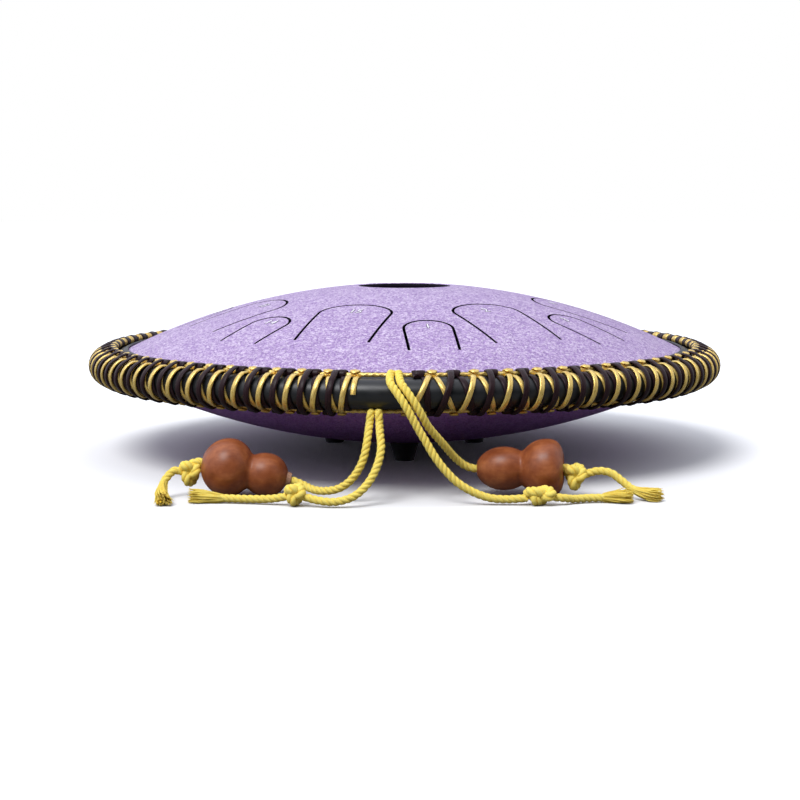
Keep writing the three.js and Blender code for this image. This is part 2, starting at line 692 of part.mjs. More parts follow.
freeEnd('left', leftHitch.far, LEFT_FREE_ROUTE, [-51.2, -191], LEFT_FREE_KNOT, [6, -1.5, -1], points([
  [-62, -188, 3], [-72, -185.6, 2.4], [-82, -184, 2.6], [-93, -183, 3.4], [-101, -182.6, 3.6],
]));
freeEnd('right', rightHitch.near, RIGHT_FREE_ROUTE, [63.4, -189], RIGHT_FREE_KNOT, [-6, 0, -1], points([
  [74.5, -188.2, 3.4], [79.5, -185, 2.4], [86, -182.6, 2.4], [92, -181.8, 2.4], [99, -182, 3.2],
  [107, -183.6, 3.6],
]));

export default group;
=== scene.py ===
from math import acos, asin, atan2, ceil, cos, exp, hypot, pi, radians, sin, sqrt

import bmesh
import bpy
import numpy as np
from mathutils import Matrix, Vector
from numpy.linalg import norm


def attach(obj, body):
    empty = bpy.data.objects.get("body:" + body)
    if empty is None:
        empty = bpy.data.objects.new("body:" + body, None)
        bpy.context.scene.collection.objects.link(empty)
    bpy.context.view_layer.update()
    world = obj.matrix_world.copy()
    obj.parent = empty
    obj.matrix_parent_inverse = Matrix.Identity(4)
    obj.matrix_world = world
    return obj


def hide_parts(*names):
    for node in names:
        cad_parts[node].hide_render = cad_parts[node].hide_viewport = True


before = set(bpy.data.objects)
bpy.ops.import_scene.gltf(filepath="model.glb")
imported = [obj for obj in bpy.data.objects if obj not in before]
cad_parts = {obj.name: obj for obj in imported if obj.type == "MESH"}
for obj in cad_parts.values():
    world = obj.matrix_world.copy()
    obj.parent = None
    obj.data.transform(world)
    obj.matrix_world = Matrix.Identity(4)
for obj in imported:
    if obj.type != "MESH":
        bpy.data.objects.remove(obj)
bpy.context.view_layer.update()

# Sizes in metres, in the frame of the CAD part

# Shells
RIM_Z = 0.05
DOME_R = 0.352
DOME_DROP = 0.3082  # rim plane to a dome's centre
STEEL = 0.0016
BOND = 0.0008
FLANGE_FACE = 0.002  # rim plane to the outside of a flange
BEND_R = 0.166373  # where a dome's outside ends
FLANGE_R = 0.171373
HOLE_R = 0.025
HOLE_ROLL = 0.0022
SHELL_SHARP = 30  # degrees, from which an edge stays sharp

# Tongues
TONGUES = 15
FIRST_TONGUE = radians(6.5)
BACK_PAIR = 7  # this tongue and the one before it are both short
ROOT_STEP = 0.0011
LONG = dict(tip=0.073, half=0.0198, cap=0.013, root=0.124)
SHORT = dict(tip=0.0975, half=0.0127, cap=0.0105, root=0.132)
LONG_NUMBER = 0.0845  # axis to the number
SHORT_NUMBER = 0.1055
SLOT = 0.0012
SLOT_EDGE = 0.00015  # bevel along a slot, near-black with painted shade like its walls
NUMBER_SIZE = 0.0074
NUMBER_HIGH = 0.00016
SHADE_BORDER = 0.00025  # painted shade: a dark border round a number
SHADE_BORDER_HIGH = 0.00008

# Rim edging and lacing
SEAT = 0.0003
BULB_R = 0.0073
BULB_RING_R = 0.167373
LIP_R = 0.155773
LIP = 0.0013
LIP_FILLET = 0.0022
LINE_R = 0.00122
LINE_TWISTS = 292  # turns of a lacing line's twist all the way round
LINE_GROOVE = 0.12  # depth of the twist, as a share of the radius
LINE_ANGLE = radians(113)
LINE_REACH = 0.0095  # bulb's middle to a line's middle
LACE_HEIGHT = 0.00125
GOLD_LACE = dict(width=0.0027, upper_bar=0.0032, lower_bar=0.0022, tucked=True, first_tail=0.009)
BROWN_LACE = dict(width=0.0032, upper_bar=0.0046, lower_bar=0.0046, tucked=False, first_tail=0.003)
BROWN_START = 0.25  # in stitches
LAST_TAIL = 0.014
STITCHES = 74
LACE_START = radians(0.2)
LACE_GAP = 0.025
LACE_EASE = 0.0226
EASE_STITCHES = 1.6
PITCH = (2 * pi * BULB_RING_R - LACE_GAP - LACE_EASE) / (STITCHES + 0.5)
UNDER = BULB_R + LACE_HEIGHT / 2
CROSS = UNDER + LACE_HEIGHT
LOOP = LINE_R + LACE_HEIGHT / 2
LOOP_SWELL = 0.5  # how much wider a lace is pulled where it goes round a line
STRAIGHT = radians(105)  # a leg looks straight from outside up to this angle
LEAVE = 1.15  # angle at which a leg leaves the bulb for its line
BIGHT_TURN = pi + 0.7  # how far a tucked lace goes round a line from under it

# Feet
FEET = ("front", "right", "left")
FOOT_RING_R = 0.047
FOOT_TOP_R = 0.0077
FOOT_BASE_R = 0.0053
FOOT_EDGE = 0.0006
STEM_R = 0.0026
STEM_HEAD_R = 0.0042
STEM_HEAD = 0.0024
STEM_EDGE = 0.0003

# Ropes and gourds
ROPE_R = 0.0019
ROPE_STEP = 0.0005
ROPE_PITCH = 0.0088  # one turn of the rope's lay
LAY_R = 0.00197  # reach of the rope's strands
HITCHED = 0.009  # how much of each strand goes with its hitch
GOURD_KNOT = (0.005, 0.005, 0.006)  # half a knot's length along X, depth and height
LEFT_FREE_KNOT = (0.0047, 0.0047, 0.005)
RIGHT_FREE_KNOT = (0.0072, 0.0042, 0.0042)
KNOT_ROPE_R = 0.0025  # a rope swells where it is knotted
KNOT_OVERLAP = 0.001  # how far a strand or tail goes into its knot
KNOT_LEAD = [(-0.002, 0.0), (0.0015, 0.0), (0.004, 0.0012)]  # out from a gourd's big end, and down
LEAD_END = 0.001  # above the knot's middle
YARN_R = 0.00042
YARN_STEP = 0.0015
YARN_LENGTHS = (0.8, 1.2)  # against that of the frayed end
STRAYS = 0.08  # share of the yarns that stand away
SMALL_LOBE_R = 0.0105
BIG_LOBE_R = 0.0141
SMALL_INNER = 0.68  # a small lobe's reach towards the waist, against the spacing of the lobes
BIG_INNER = 0.665
WAIST_BLEND = 0.003
GOURD_NECK_R = 0.0036
BORE_R = 0.0024
BORE_EDGE = 0.0006
STEM_STUB = [(0.0037, 0.0), (BORE_R, 0.0), (BORE_R, 0.0023), (0.0027, 0.0026), (0.0031, 0.0024),
             (0.0033, 0.00156)]  # radius, and how far out
STUB_DEPTH = 0.0003  # how far inside the gourd it starts

# Facets
TOP_FACETS = (76, 240)  # from the middle to the rim, and round it
BOTTOM_FACETS = (70, 192)
EDGING_SIDES = 288
GOURD_SIDES = 96
FOOT_SIDES = 48
CORD_SIDES = 12
YARN_SIDES = 6

FLOOR_CLEAR = 0.0002
TURN = 2 * pi
UP = np.array([0.0, 0.0, 1.0])
random = np.random.default_rng(7)


def dome_height(radius, outside):
    """Height above the rim plane of the surface that lies a given distance outside the dome."""
    return np.sqrt((DOME_R + outside) ** 2 - np.square(radius)) - DOME_DROP


def outwards(bearing):
    return np.array([sin(bearing), -cos(bearing), 0.0])


def ring_point(bearing, radius, height):
    return outwards(bearing) * radius + UP * (RIM_Z + height)


def even_turns(count):
    return np.arange(count) * TURN / count


def unit(rows):
    return rows / norm(rows, axis=1, keepdims=True)


def square_to(tangents, rows):
    return unit(rows - tangents * (rows * tangents).sum(axis=1, keepdims=True))


# Mesh building

def put(thing, **settings):
    for key, value in settings.items():
        setattr(thing, key, value)
    return thing


def add_object(name, data):
    thing = bpy.data.objects.new(name, data)
    bpy.context.scene.collection.objects.link(thing)
    return thing


class Pieces:
    """Vertices, faces and texture coordinates of one object, put together part by part."""

    def __init__(self):
        self.points, self.faces, self.coords, self.slots = [], [], [], []
        self.count = 0

    def grid(self, rings, wrap=True, caps=True, loop=False, lengths=None, slots=None):
        """A skin over rings of points. wrap joins each ring's ends, and loop the last ring to the first."""
        rings = np.asarray(rings, float)
        rows, sides = rings.shape[:2]
        if lengths is None:
            lengths = line_lengths(rings.mean(axis=1))
        index = self.count + np.arange(rows * sides).reshape(rows, sides)
        last = sides if wrap else sides - 1
        for row in range(rows if loop else rows - 1):
            below = (row + 1) % rows
            for side in range(last):
                after = (side + 1) % sides
                self.faces.append((index[row, side], index[row, after],
                                   index[below, after], index[below, side]))
                low, high = side / last, (side + 1) / last
                u, v = lengths[row], lengths[row + 1]
                self.coords += [(u, low), (u, high), (v, high), (v, low)]
                self.slots.append(0 if slots is None else slots[row])
        if caps:
            for ring, u in ((index[0][::-1], lengths[0]), (index[-1], lengths[-1])):
                self.faces.append(tuple(ring))
                # a cap sits halfway round, where a cotton strand has no painted groove shade
                self.coords += [(u, 0.5)] * sides
                self.slots.append(0)
        self.points.append(rings.reshape(-1, 3))
        self.count += rows * sides
        return self

    def lathe(self, profile, segments, closed, middle=(0, 0, 0), slots=None):
        """Turns [radius, height] pairs about the vertical line through a point."""
        profile = np.array(profile, float)
        turns = even_turns(segments)
        around = np.stack([np.sin(turns), -np.cos(turns), np.zeros(segments)], axis=1)
        rings = profile[:, :1, None] * around[None] + profile[:, 1:, None] * UP + np.array(middle)
        lengths = line_lengths(np.vstack([profile, profile[:1]]))
        return self.grid(rings, caps=not closed, loop=closed, lengths=lengths, slots=slots)

    def build(self, name, materials, sharp=40):
        """Makes the object. Edges that turn more than sharp degrees stay sharp."""
        mesh = bpy.data.meshes.new(name)
        faces = [tuple(int(i) for i in face) for face in self.faces]
        mesh.from_pydata(np.concatenate(self.points).tolist(), [], faces)
        layer = mesh.uv_layers.new(name="lay")
        layer.data.foreach_set("uv", np.array(self.coords, np.float32).ravel())
        for material in materials:
            mesh.materials.append(material)
        mesh.polygons.foreach_set("material_index", np.array(self.slots, np.int32))
        mesh.shade_smooth()
        mesh.set_sharp_from_angle(angle=radians(sharp))
        mesh.validate()
        return add_object(name, mesh)


def smooth_line(points):
    """A centripetal Catmull-Rom line through points, with samples about a rope step apart."""
    samples = 24
    points = [np.array(point, float) for point in points]
    ends = [2 * points[0] - points[1]] + points + [2 * points[-1] - points[-2]]
    line = []
    for before, start, end, after in zip(ends, ends[1:], ends[2:], ends[3:]):
        a, b, c = (max(sqrt(norm(q - p)), 1e-5)
                   for p, q in ((before, start), (start, end), (end, after)))
        leave = ((start - before) / a - (end - before) / (a + b) + (end - start) / b) * b
        arrive = ((end - start) / b - (after - start) / (b + c) + (after - end) / c) * b
        for t in np.linspace(0, 1, samples, endpoint=False):
            line.append((2 * t ** 3 - 3 * t ** 2 + 1) * start + (t ** 3 - 2 * t ** 2 + t) * leave
                        + (3 * t ** 2 - 2 * t ** 3) * end + (t ** 3 - t ** 2) * arrive)
    return even_line(np.array(line + [points[-1]]))


def line_lengths(line):
    return np.concatenate([[0], np.cumsum(norm(np.diff(line, axis=0), axis=1))])


def even_line(line, step=ROPE_STEP):
    lengths = line_lengths(line)
    places = np.linspace(0, lengths[-1], max(2, ceil(lengths[-1] / step) + 1))
    return np.stack([np.interp(places, lengths, line[:, k]) for k in range(3)], axis=1)


def frames(line):
    """Tangent and two normals at each point, turned as little as possible from point to point."""
    steep = 0.9
    tangents = unit(np.gradient(line, axis=0))
    first = np.cross(tangents[0], UP if abs(tangents[0][2]) < steep else np.array([1.0, 0, 0]))
    normals = [first / norm(first)]
    for tangent in tangents[1:]:
        normal = normals[-1] - tangent * normals[-1].dot(tangent)
        normals.append(normal / norm(normal))
    normals = np.array(normals)
    return tangents, normals, np.cross(tangents, normals)


def tube(pieces, line, radius, sides, inwards=None):
    """A tube along a line, with its seam towards inwards where that is given."""
    radius = np.broadcast_to(radius, len(line))
    tangents, normals, across = frames(line)
    if inwards is not None:
        normals = square_to(tangents, inwards)
        across = np.cross(tangents, normals)
    turns = even_turns(sides)
    section = np.cos(turns)[None, :, None] * normals[:, None] + np.sin(turns)[None, :, None] * across[:, None]
    pieces.grid(line[:, None] + section * radius[:, None, None], lengths=line_lengths(line))


class Laid:
    """Three strands laid round each other along a line, thinned by loosen where it unravels."""

    def __init__(self, line, radius=LAY_R, loosen=1.0):
        count, thick, place = 3, 0.6, 0.42  # strands, and their radius and place as shares of the reach
        _, normals, across = frames(line)
        lengths = line_lengths(line)
        radius = np.broadcast_to(radius, len(line))
        self.thick = radius * thick * loosen
        self.strands = []
        for strand in range(count):
            turn = TURN * (lengths / ROPE_PITCH + strand / count)
            away = np.cos(turn)[:, None] * normals + np.sin(turn)[:, None] * across
            middle = line + away * radius[:, None] * place
            middle[:, 2] = np.maximum(middle[:, 2], FLOOR_CLEAR + self.thick)
            self.strands.append((middle, -away))

    def add_to(self, pieces, start=0, end=None):
        for middle, inwards in self.strands:
            tube(pieces, middle[start:end], self.thick[start:end], CORD_SIDES, inwards[start:end])


def dress(piece, slot, *nodes, body="drum"):
    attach(piece, body)
    if nodes:
        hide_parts(*nodes)
    return piece


# Materials

def add_node(tree, kind, output, inputs=None, **settings):
    """Adds a shader node, links or sets its inputs, and gives one of its outputs."""
    node = put(tree.nodes.new("ShaderNode" + kind), **settings)
    for key, value in (inputs or {}).items():
        if isinstance(value, bpy.types.NodeSocket):
            tree.links.new(value, node.inputs[key])
        else:
            node.inputs[key].default_value = value
    return node.outputs[output]


def maths(tree, operation, *values):
    return add_node(tree, "Math", "Value", dict(enumerate(values)), operation=operation)


def rescaled(tree, value, start, end, low, high, kind="LINEAR"):
    return add_node(tree, "MapRange", "Result", {
        "Value": value, "From Min": start, "From Max": end, "To Min": low, "To Max": high},
        interpolation_type=kind)


def ramp(tree, value, stops):
    colour = add_node(tree, "ValToRGB", "Color", {"Fac": value})
    elements = colour.node.color_ramp.elements
    while len(elements) < len(stops):
        elements.new(0.5)
    for element, (place, tone) in zip(elements, stops):
        element.position = place
        element.color = (*tone, 1.0)
    return colour


def noise(tree, where, scale=1.0, detail=4.0, roughness=0.55, distortion=0.0):
    return add_node(tree, "TexNoise", "Fac", {
        "Vector": where, "Scale": scale, "Detail": detail, "Roughness": roughness,
        "Distortion": distortion})


def waves(tree, where, distortion, detail, **settings):
    return add_node(tree, "TexWave", "Fac", {
        "Vector": where, "Scale": 1.0, "Distortion": distortion, "Detail": detail}, **settings)


def stretched(tree, where, scale, rotation=(0, 0, 0)):
    return add_node(tree, "Mapping", "Vector", {"Vector": where, "Scale": scale, "Rotation": rotation})


def new_material(name, coordinates, **sockets):
    """A principled material and its coordinates. The sockets are the values that are the same all over."""
    material = bpy.data.materials.new(name)
    material.use_nodes = True
    tree = material.node_tree
    shader = tree.nodes["Principled BSDF"]
    for key, value in sockets.items():
        shader.inputs[key.replace("_", " ")].default_value = value
    return material, tree, add_node(tree, "TexCoord", coordinates)


def finish(material, shade, tones, wear, roughness, height, strength, depth):
    """Colours by shade, roughness by wear and bumps by height. Tones and roughness are the stops."""
    tree = material.node_tree
    relief = {"Height": height, "Strength": strength, "Distance": depth}
    grey = [(place, (level,) * 3) for place, level in roughness]
    looks = {"Base Color": ramp(tree, shade, tones), "Roughness": ramp(tree, wear, grey),
             "Normal": add_node(tree, "Bump", "Normal", relief)}
    for key, value in looks.items():
        tree.links.new(value, tree.nodes["Principled BSDF"].inputs[key])
    return material


def mottled(name, scale, tones, roughness, strength, depth, detail=4.0, fine=0.55, **sockets):
    """A plain material: one noise, scaled along each axis, for its colours, roughness and bumps."""
    material, tree, where = new_material(name, "Object", **sockets)
    mottle = noise(tree, stretched(tree, where, scale), detail=detail, roughness=fine)
    return finish(material, mottle, tones, mottle, roughness, mottle, strength, depth)


def paint(name, dark, mid, light):
    """Wrinkled paint whose colour follows the wrinkles' height: painted highlight on the ridges and painted
    shade in the hollows.
    """
    material, tree, where = new_material(
        name, "Object", Specular_IOR_Level=0.5, Coat_Weight=0.15, Coat_Roughness=0.2)
    wrinkles = noise(tree, where, scale=760.0, detail=2.5, roughness=0.6, distortion=0.8)
    broad = noise(tree, where, scale=170.0, detail=2.0)
    height = maths(tree, "MULTIPLY_ADD", broad, 0.2, wrinkles)
    # The colour runs with the bump's height: painted highlight on the ridges, painted shade in the hollows.
    return finish(material, height, [(0.48, dark), (0.6, mid), (0.72, light)],
                  wrinkles, [(0.3, 0.46), (0.7, 0.30)], height, strength=1.0, depth=0.0017)


def rubber(name, low, high, rough):
    material, tree, where = new_material(name, "Object", Specular_IOR_Level=0.5)
    fine = noise(tree, where, scale=2600.0, detail=3.0)
    broad = noise(tree, where, scale=90.0)
    return finish(material, broad, [(0.3, low), (0.75, high)],
                  broad, [(0.3, rough - 0.05), (0.75, rough + 0.1)], fine, strength=0.18, depth=0.0001)


def cord_cover(name, dark, mid, light, **sockets):
    """A satin cord: fine crossing threads along and round it."""
    material, tree, where = new_material(name, "UV", **sockets)
    weave = waves(tree, stretched(tree, where, (900.0, 9.0, 1.0), (0, 0, 0.5)), distortion=1.2, detail=1.0)
    along = noise(tree, stretched(tree, where, (260.0, 14.0, 1.0)), detail=3.0)
    half = maths(tree, "MULTIPLY", maths(tree, "ADD", weave, along), 0.5)
    return finish(material, half, [(0.22, dark), (0.5, mid), (0.75, light)],
                  along, [(0.3, 0.24), (0.8, 0.40)], half, strength=0.28, depth=0.00012)


def cotton(name, deep):
    """Fibres along a strand, darkened by painted shade in the grooves at its sides."""
    material, tree, where = new_material(
        name, "UV", Specular_IOR_Level=0.1, Sheen_Weight=0.25, Sheen_Roughness=0.4,
        Sheen_Tint=(1.0, 0.78, 0.22, 1.0))
    fibres = noise(tree, stretched(tree, where, (420.0, 26.0, 1.0), (0, 0, 0.02)), detail=5.0, roughness=0.65)
    yarns = waves(tree, stretched(tree, where, (160.0, 7.0, 1.0)), distortion=2.0, detail=2.0,
                  bands_direction="Y")
    half = maths(tree, "MULTIPLY", maths(tree, "ADD", fibres, yarns), 0.5)
    around = add_node(tree, "SeparateXYZ", "Y", {"Vector": where})
    aside = maths(tree, "ABSOLUTE", maths(tree, "SUBTRACT", around, 0.5))
    # painted shade: darker towards the strand's seam, which faces the grooves between the strands
    painted_groove_shade = rescaled(tree, aside, 0.12, 0.3, 0.0, deep)
    return finish(material, maths(tree, "SUBTRACT", half, painted_groove_shade),
                  [(0.05, (0.90, 0.42, 0.01)), (0.36, (1.0, 0.73, 0.065)), (0.65, (1.0, 0.90, 0.28))],
                  fibres, [(0.3, 0.75), (0.8, 0.95)], half, strength=0.6, depth=0.0002)


def polished_gourd():
    material, tree, where = new_material(
        "polished_gourd", "Object", Specular_IOR_Level=0.35, Coat_Weight=0.06, Coat_Roughness=0.2)
    grain = noise(tree, stretched(tree, where, (90.0, 520.0, 520.0)), roughness=0.6, distortion=0.6)
    clouds = noise(tree, where, scale=120.0, detail=3.0)
    return finish(material, maths(tree, "MULTIPLY_ADD", grain, 0.35, clouds),
                  [(0.45, (0.20, 0.048, 0.015)), (0.68, (0.30, 0.082, 0.026)), (0.9, (0.42, 0.135, 0.046))],
                  clouds, [(0.3, 0.34), (0.75, 0.48)], grain, strength=0.08, depth=0.0003)


PAINT = paint("lavender_paint", (0.31, 0.18, 0.47), (0.49, 0.325, 0.63), (0.76, 0.63, 0.85))
# The bottom shell's paint: the lavender paint again, deeper and more saturated violet as painted shade for
# the underside in shadow.
SHADED_PAINT = paint("shaded_lavender_paint", (0.40, 0.14, 0.57), (0.54, 0.22, 0.75), (0.64, 0.33, 0.84))
# Near-black painted shade: on the shells' insides, the hole's inward roll, the slot walls and bevels, and
# round the numbers.
INSIDE_SHADE = mottled("shell_inside_shade", (160.0,) * 3,
                 [(0.3, (0.004, 0.003, 0.006)), (0.75, (0.012, 0.009, 0.018))],
                 [(0.3, 0.55), (0.7, 0.75)], strength=0.3, depth=0.0003, detail=5.0, Specular_IOR_Level=0.05)
HOSE = rubber("black_hose", (0.008, 0.009, 0.010), (0.014, 0.015, 0.018), rough=0.36)
FOOT = rubber("foot_rubber", (0.014, 0.013, 0.016), (0.026, 0.025, 0.028), rough=0.55)
GOLD = cord_cover("gold_cord", (0.32, 0.11, 0.004), (1.0, 0.62, 0.08), (1.0, 0.94, 0.42),
                  Specular_IOR_Level=0.6, Metallic=0.55)
BROWN = cord_cover("brown_cord", (0.004, 0.0014, 0.002), (0.016, 0.006, 0.008), (0.05, 0.023, 0.028),
                   Specular_IOR_Level=0.15)
# deep is how far painted shade darkens a strand's grooves
COTTON = cotton("yellow_cotton", deep=0.24)
YARN = cotton("loose_yarn", deep=0.05)
GOURD = polished_gourd()
STEM = mottled("dry_stem", (700.0, 2600.0, 2600.0),
               [(0.3, (0.30, 0.13, 0.07)), (0.7, (0.60, 0.38, 0.27))],
               [(0.3, 0.6), (0.7, 0.8)], strength=0.5, depth=0.0002, fine=0.6, Specular_IOR_Level=0.3)
# Pale etched metal, made near-white as a painted highlight on the mark as well.
NUMBER = mottled("etched_number", (2400.0, 700.0, 2400.0),
                 [(0.3, (0.80, 0.76, 0.86)), (0.7, (0.97, 0.95, 1.0))],
                 [(0.3, 0.3), (0.8, 0.5)], strength=0.3, depth=0.0001, detail=3.0, Metallic=0.1)
GLUE = mottled("grey_adhesive", (420.0,) * 3,
               [(0.3, (0.12, 0.12, 0.11)), (0.7, (0.2, 0.2, 0.18))],
               [(0.3, 0.6), (0.7, 0.8)], strength=0.4, depth=0.0003)
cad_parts["flange_bond"].data.materials.clear()
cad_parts["flange_bond"].data.materials.append(GLUE)


# Camera: the photograph's place, pitch and lens
PITCH_DOWN = 0.11832
YAW = 0.0022
camera = add_object("camera", bpy.data.cameras.new("camera"))
put(camera.data, sensor_width=36, lens=81.98)
put(camera, location=(-0.000245, -1.03159, 0.14993), rotation_euler=(pi / 2 - PITCH_DOWN, 0, YAW))
bpy.context.scene.camera = camera


# Ropes: routes in metres, as in the CAD part
LEFT_GOURD_ROUTE = [
    (-0.017, -0.1766, 0.0338), (-0.0179, -0.1805, 0.0273), (-0.02, -0.1822, 0.0192),
    (-0.025, -0.1824, 0.0112), (-0.031, -0.1804, 0.0066), (-0.038, -0.177, 0.0048),
    (-0.044, -0.172, 0.0048), (-0.05, -0.1662, 0.0066),
]
LEFT_FREE_ROUTE = [
    (-0.0116, -0.1783, 0.033), (-0.011, -0.184, 0.026), (-0.013, -0.1885, 0.018),
    (-0.017, -0.192, 0.011), (-0.023, -0.195, 0.0056), (-0.031, -0.196, 0.003),
    (-0.038, -0.1952, 0.003),
]
RIGHT_GOURD_ROUTE = [
    (-0.0015, -0.1782, 0.0561), (0.0012, -0.1813, 0.0528), (0.0049, -0.183, 0.0474),
    (0.0079, -0.1826, 0.0422), (0.0108, -0.1798, 0.0366), (0.0148, -0.176, 0.0312),
    (0.0188, -0.172, 0.0262), (0.022, -0.1676, 0.0218), (0.0254, -0.1636, 0.0178),
    (0.0298, -0.1614, 0.0143),
]
RIGHT_FREE_ROUTE = [
    (-0.0065, -0.1782, 0.0561), (-0.0039, -0.1818, 0.0528), (-0.0002, -0.1844, 0.0474),
    (0.0031, -0.185, 0.0416), (0.0064, -0.185, 0.0356), (0.01, -0.1854, 0.0296),
    (0.014, -0.1864, 0.0229), (0.0188, -0.187, 0.0166), (0.0246, -0.1878, 0.0108),
    (0.032, -0.1883, 0.0063), (0.04, -0.1884, 0.0034), (0.048, -0.1884, 0.0028),
]
LEFT_GOURD_TAIL = [
    (-0.1105, -0.1655, 0.0128), (-0.1145, -0.1685, 0.0092), (-0.116, -0.174, 0.005),
    (-0.1158, -0.181, 0.0032), (-0.1152, -0.188, 0.0024), (-0.1148, -0.1925, 0.0022),
]
RIGHT_GOURD_TAIL = [
    (0.093, -0.1665, 0.0128), (0.099, -0.1675, 0.012), (0.104, -0.1695, 0.0086),
    (0.109, -0.1725, 0.005), (0.116, -0.177, 0.0032), (0.121, -0.18, 0.0026),
]
LEFT_FREE_TAIL = [
    (-0.062, -0.188, 0.003), (-0.072, -0.1856, 0.0024), (-0.082, -0.184, 0.0024),
    (-0.093, -0.183, 0.0026), (-0.101, -0.1826, 0.0028),
]
RIGHT_FREE_TAIL = [
    (0.0745, -0.1882, 0.0034), (0.0795, -0.185, 0.0024), (0.086, -0.1826, 0.0024),
    (0.092, -0.1818, 0.0024), (0.099, -0.182, 0.0026), (0.107, -0.1836, 0.0028),
]
# A hitch: its place in the lacing gap, its fold's radius and height, and a strand's spread, radius and height
LEFT_HITCH = dict(share=0.573, fold=(0.1636, -0.0084), strand=[
    (0.00225, 0.173213, -0.0126), (0.0021, 0.1737, -0.0099), (0.0018, 0.1724, -0.0082),
    (0.0015, 0.1688, -0.0086)])
RIGHT_HITCH = dict(share=0.21, fold=(0.161, 0.0092), strand=[
    (0.00225, 0.171237, 0.008679), (0.00195, 0.1677, 0.0099), (0.0019, 0.1643, 0.0097)])
# A frayed end: where it starts along its tail, how wide it opens, its yarns and how they lean along X
FAN = dict(unravel=0.66, wide=0.0042, yarns=110, lean=0.0)
LONG_FAN = dict(unravel=0.34, wide=0.0044, yarns=120, lean=0.0022)


class Bead:
    """A gourd's place and form along its axis, from the middle of its small lobe."""

    def __init__(self, place, heading, lift, spacing, point, blunt, flat, square):
        slope = asin((BIG_LOBE_R - SMALL_LOBE_R - lift) / spacing)
        level = cos(slope)
        self.middle = np.array([*place, SMALL_LOBE_R + lift])
        self.along = np.array([cos(heading) * level, sin(heading) * level, sin(slope)])
        put(self, spacing=spacing, point=point, blunt=blunt, flat=flat, square=square)
        self.small_end = -point * sqrt(SMALL_LOBE_R ** 2 - GOURD_NECK_R ** 2)
        self.big_end = spacing + BIG_LOBE_R * blunt * (1 - (flat / BIG_LOBE_R) ** square) ** (1 / square)

    def at(self, distance):
        return self.middle + self.along * distance

    def radius(self, z):
        """Each lobe is oval with two unlike ends, and the lobes run into each other at the waist."""
        small_reach = np.where(z < 0, SMALL_LOBE_R * self.point, self.spacing * SMALL_INNER)
        small = SMALL_LOBE_R * np.sqrt(np.maximum(1 - (z / small_reach) ** 2, 0))
        past = z - self.spacing
        big_reach = np.where(past > 0, BIG_LOBE_R * self.blunt, self.spacing * BIG_INNER)
        power = np.where(past > 0, self.square, 2.0)
        big = BIG_LOBE_R * np.maximum(1 - np.abs(past / big_reach) ** power, 0) ** (1 / power)
        blend = np.maximum(WAIST_BLEND - np.abs(small - big), 0)
        return np.maximum(small, big) + blend ** 2 / (4 * WAIST_BLEND)


LEFT_BEAD = Bead(place=(-0.0665, -0.164), heading=pi, lift=0.0, spacing=0.0185,
                 point=1.0, blunt=0.95, flat=0.0036, square=2.0)
RIGHT_BEAD = Bead(place=(0.048, -0.163), heading=radians(-8), lift=0.003, spacing=0.0202,
                  point=1.3, blunt=0.631, flat=0.0068, square=2.8)


def hitch_line(share, strand, fold):
    """The folded rope over its line."""
    bearing = LACE_START - share * (LACE_GAP / BULB_RING_R)
    near, far = [[ring_point(bearing + side * away / radius, radius, height)
                  for away, radius, height in strand] for side in (-1, 1)]
    return smooth_line([*near, ring_point(bearing, *fold), *far[::-1]])


def eased(line, passes=12):
    """Rounds off the corners of a line, and keeps its ends."""
    for _ in range(passes):
        line = np.vstack([line[:1], (line[:-2] + 2 * line[1:-1] + line[2:]) / 4, line[-1:]])
    return line


def pressed(line, fold):
    """A rope is flattened where it is drawn tight over its line."""
    most, reach = 0.22, 0.005
    from_fold = np.abs(line_lengths(line) - line_lengths(line)[fold])
    return LAY_R * (1 - most * np.exp(-(from_fold / reach) ** 2))


def gourd_line(start, route, bead, out):
    before, inside = 0.001, 0.003  # a rope is straight between these at a gourd's small end
    bore = [bead.small_end - before, bead.small_end + inside, 0.0, bead.spacing, bead.big_end + out]
    return smooth_line([start, *route, *[bead.at(distance) for distance in bore]])


def inside_knot(middle, size, heading):
    """A point a little under a knot's surface, in a direction from its middle."""
    heading = np.array(heading, float)
    heading /= norm(heading)
    return middle + heading * (1 / norm(heading / size) - KNOT_OVERLAP)


def rope_piece(name, node, laid, start=0, end=None):
    pieces = Pieces()
    laid.add_to(pieces, start, end)
    return dress(pieces.build(name, [COTTON]), "rope", node)


def tie(name, node, middle, size, lead=None):
    """An overhand knot drawn tight: a three-lobed closed line of rope, and the lead into it if it shows."""
    steps = 161
    wide, high, low = 2.737, 2.531, 0.469  # these bring the lobes to half widths of one
    turn = np.linspace(0, TURN, steps)
    lobes = np.stack([(np.sin(turn) + 2 * np.sin(2 * turn)) / wide, -np.sin(3 * turn),
                      (np.cos(turn) - 2 * np.cos(2 * turn) + low) / high], axis=1)
    pieces = Pieces()
    Laid(even_line(middle + lobes * (np.array(size) - ROPE_R)), KNOT_ROPE_R).add_to(pieces)
    if lead is not None:
        Laid(smooth_line(lead)).add_to(pieces)
    return dress(pieces.build(name, [COTTON]), "rope", node)


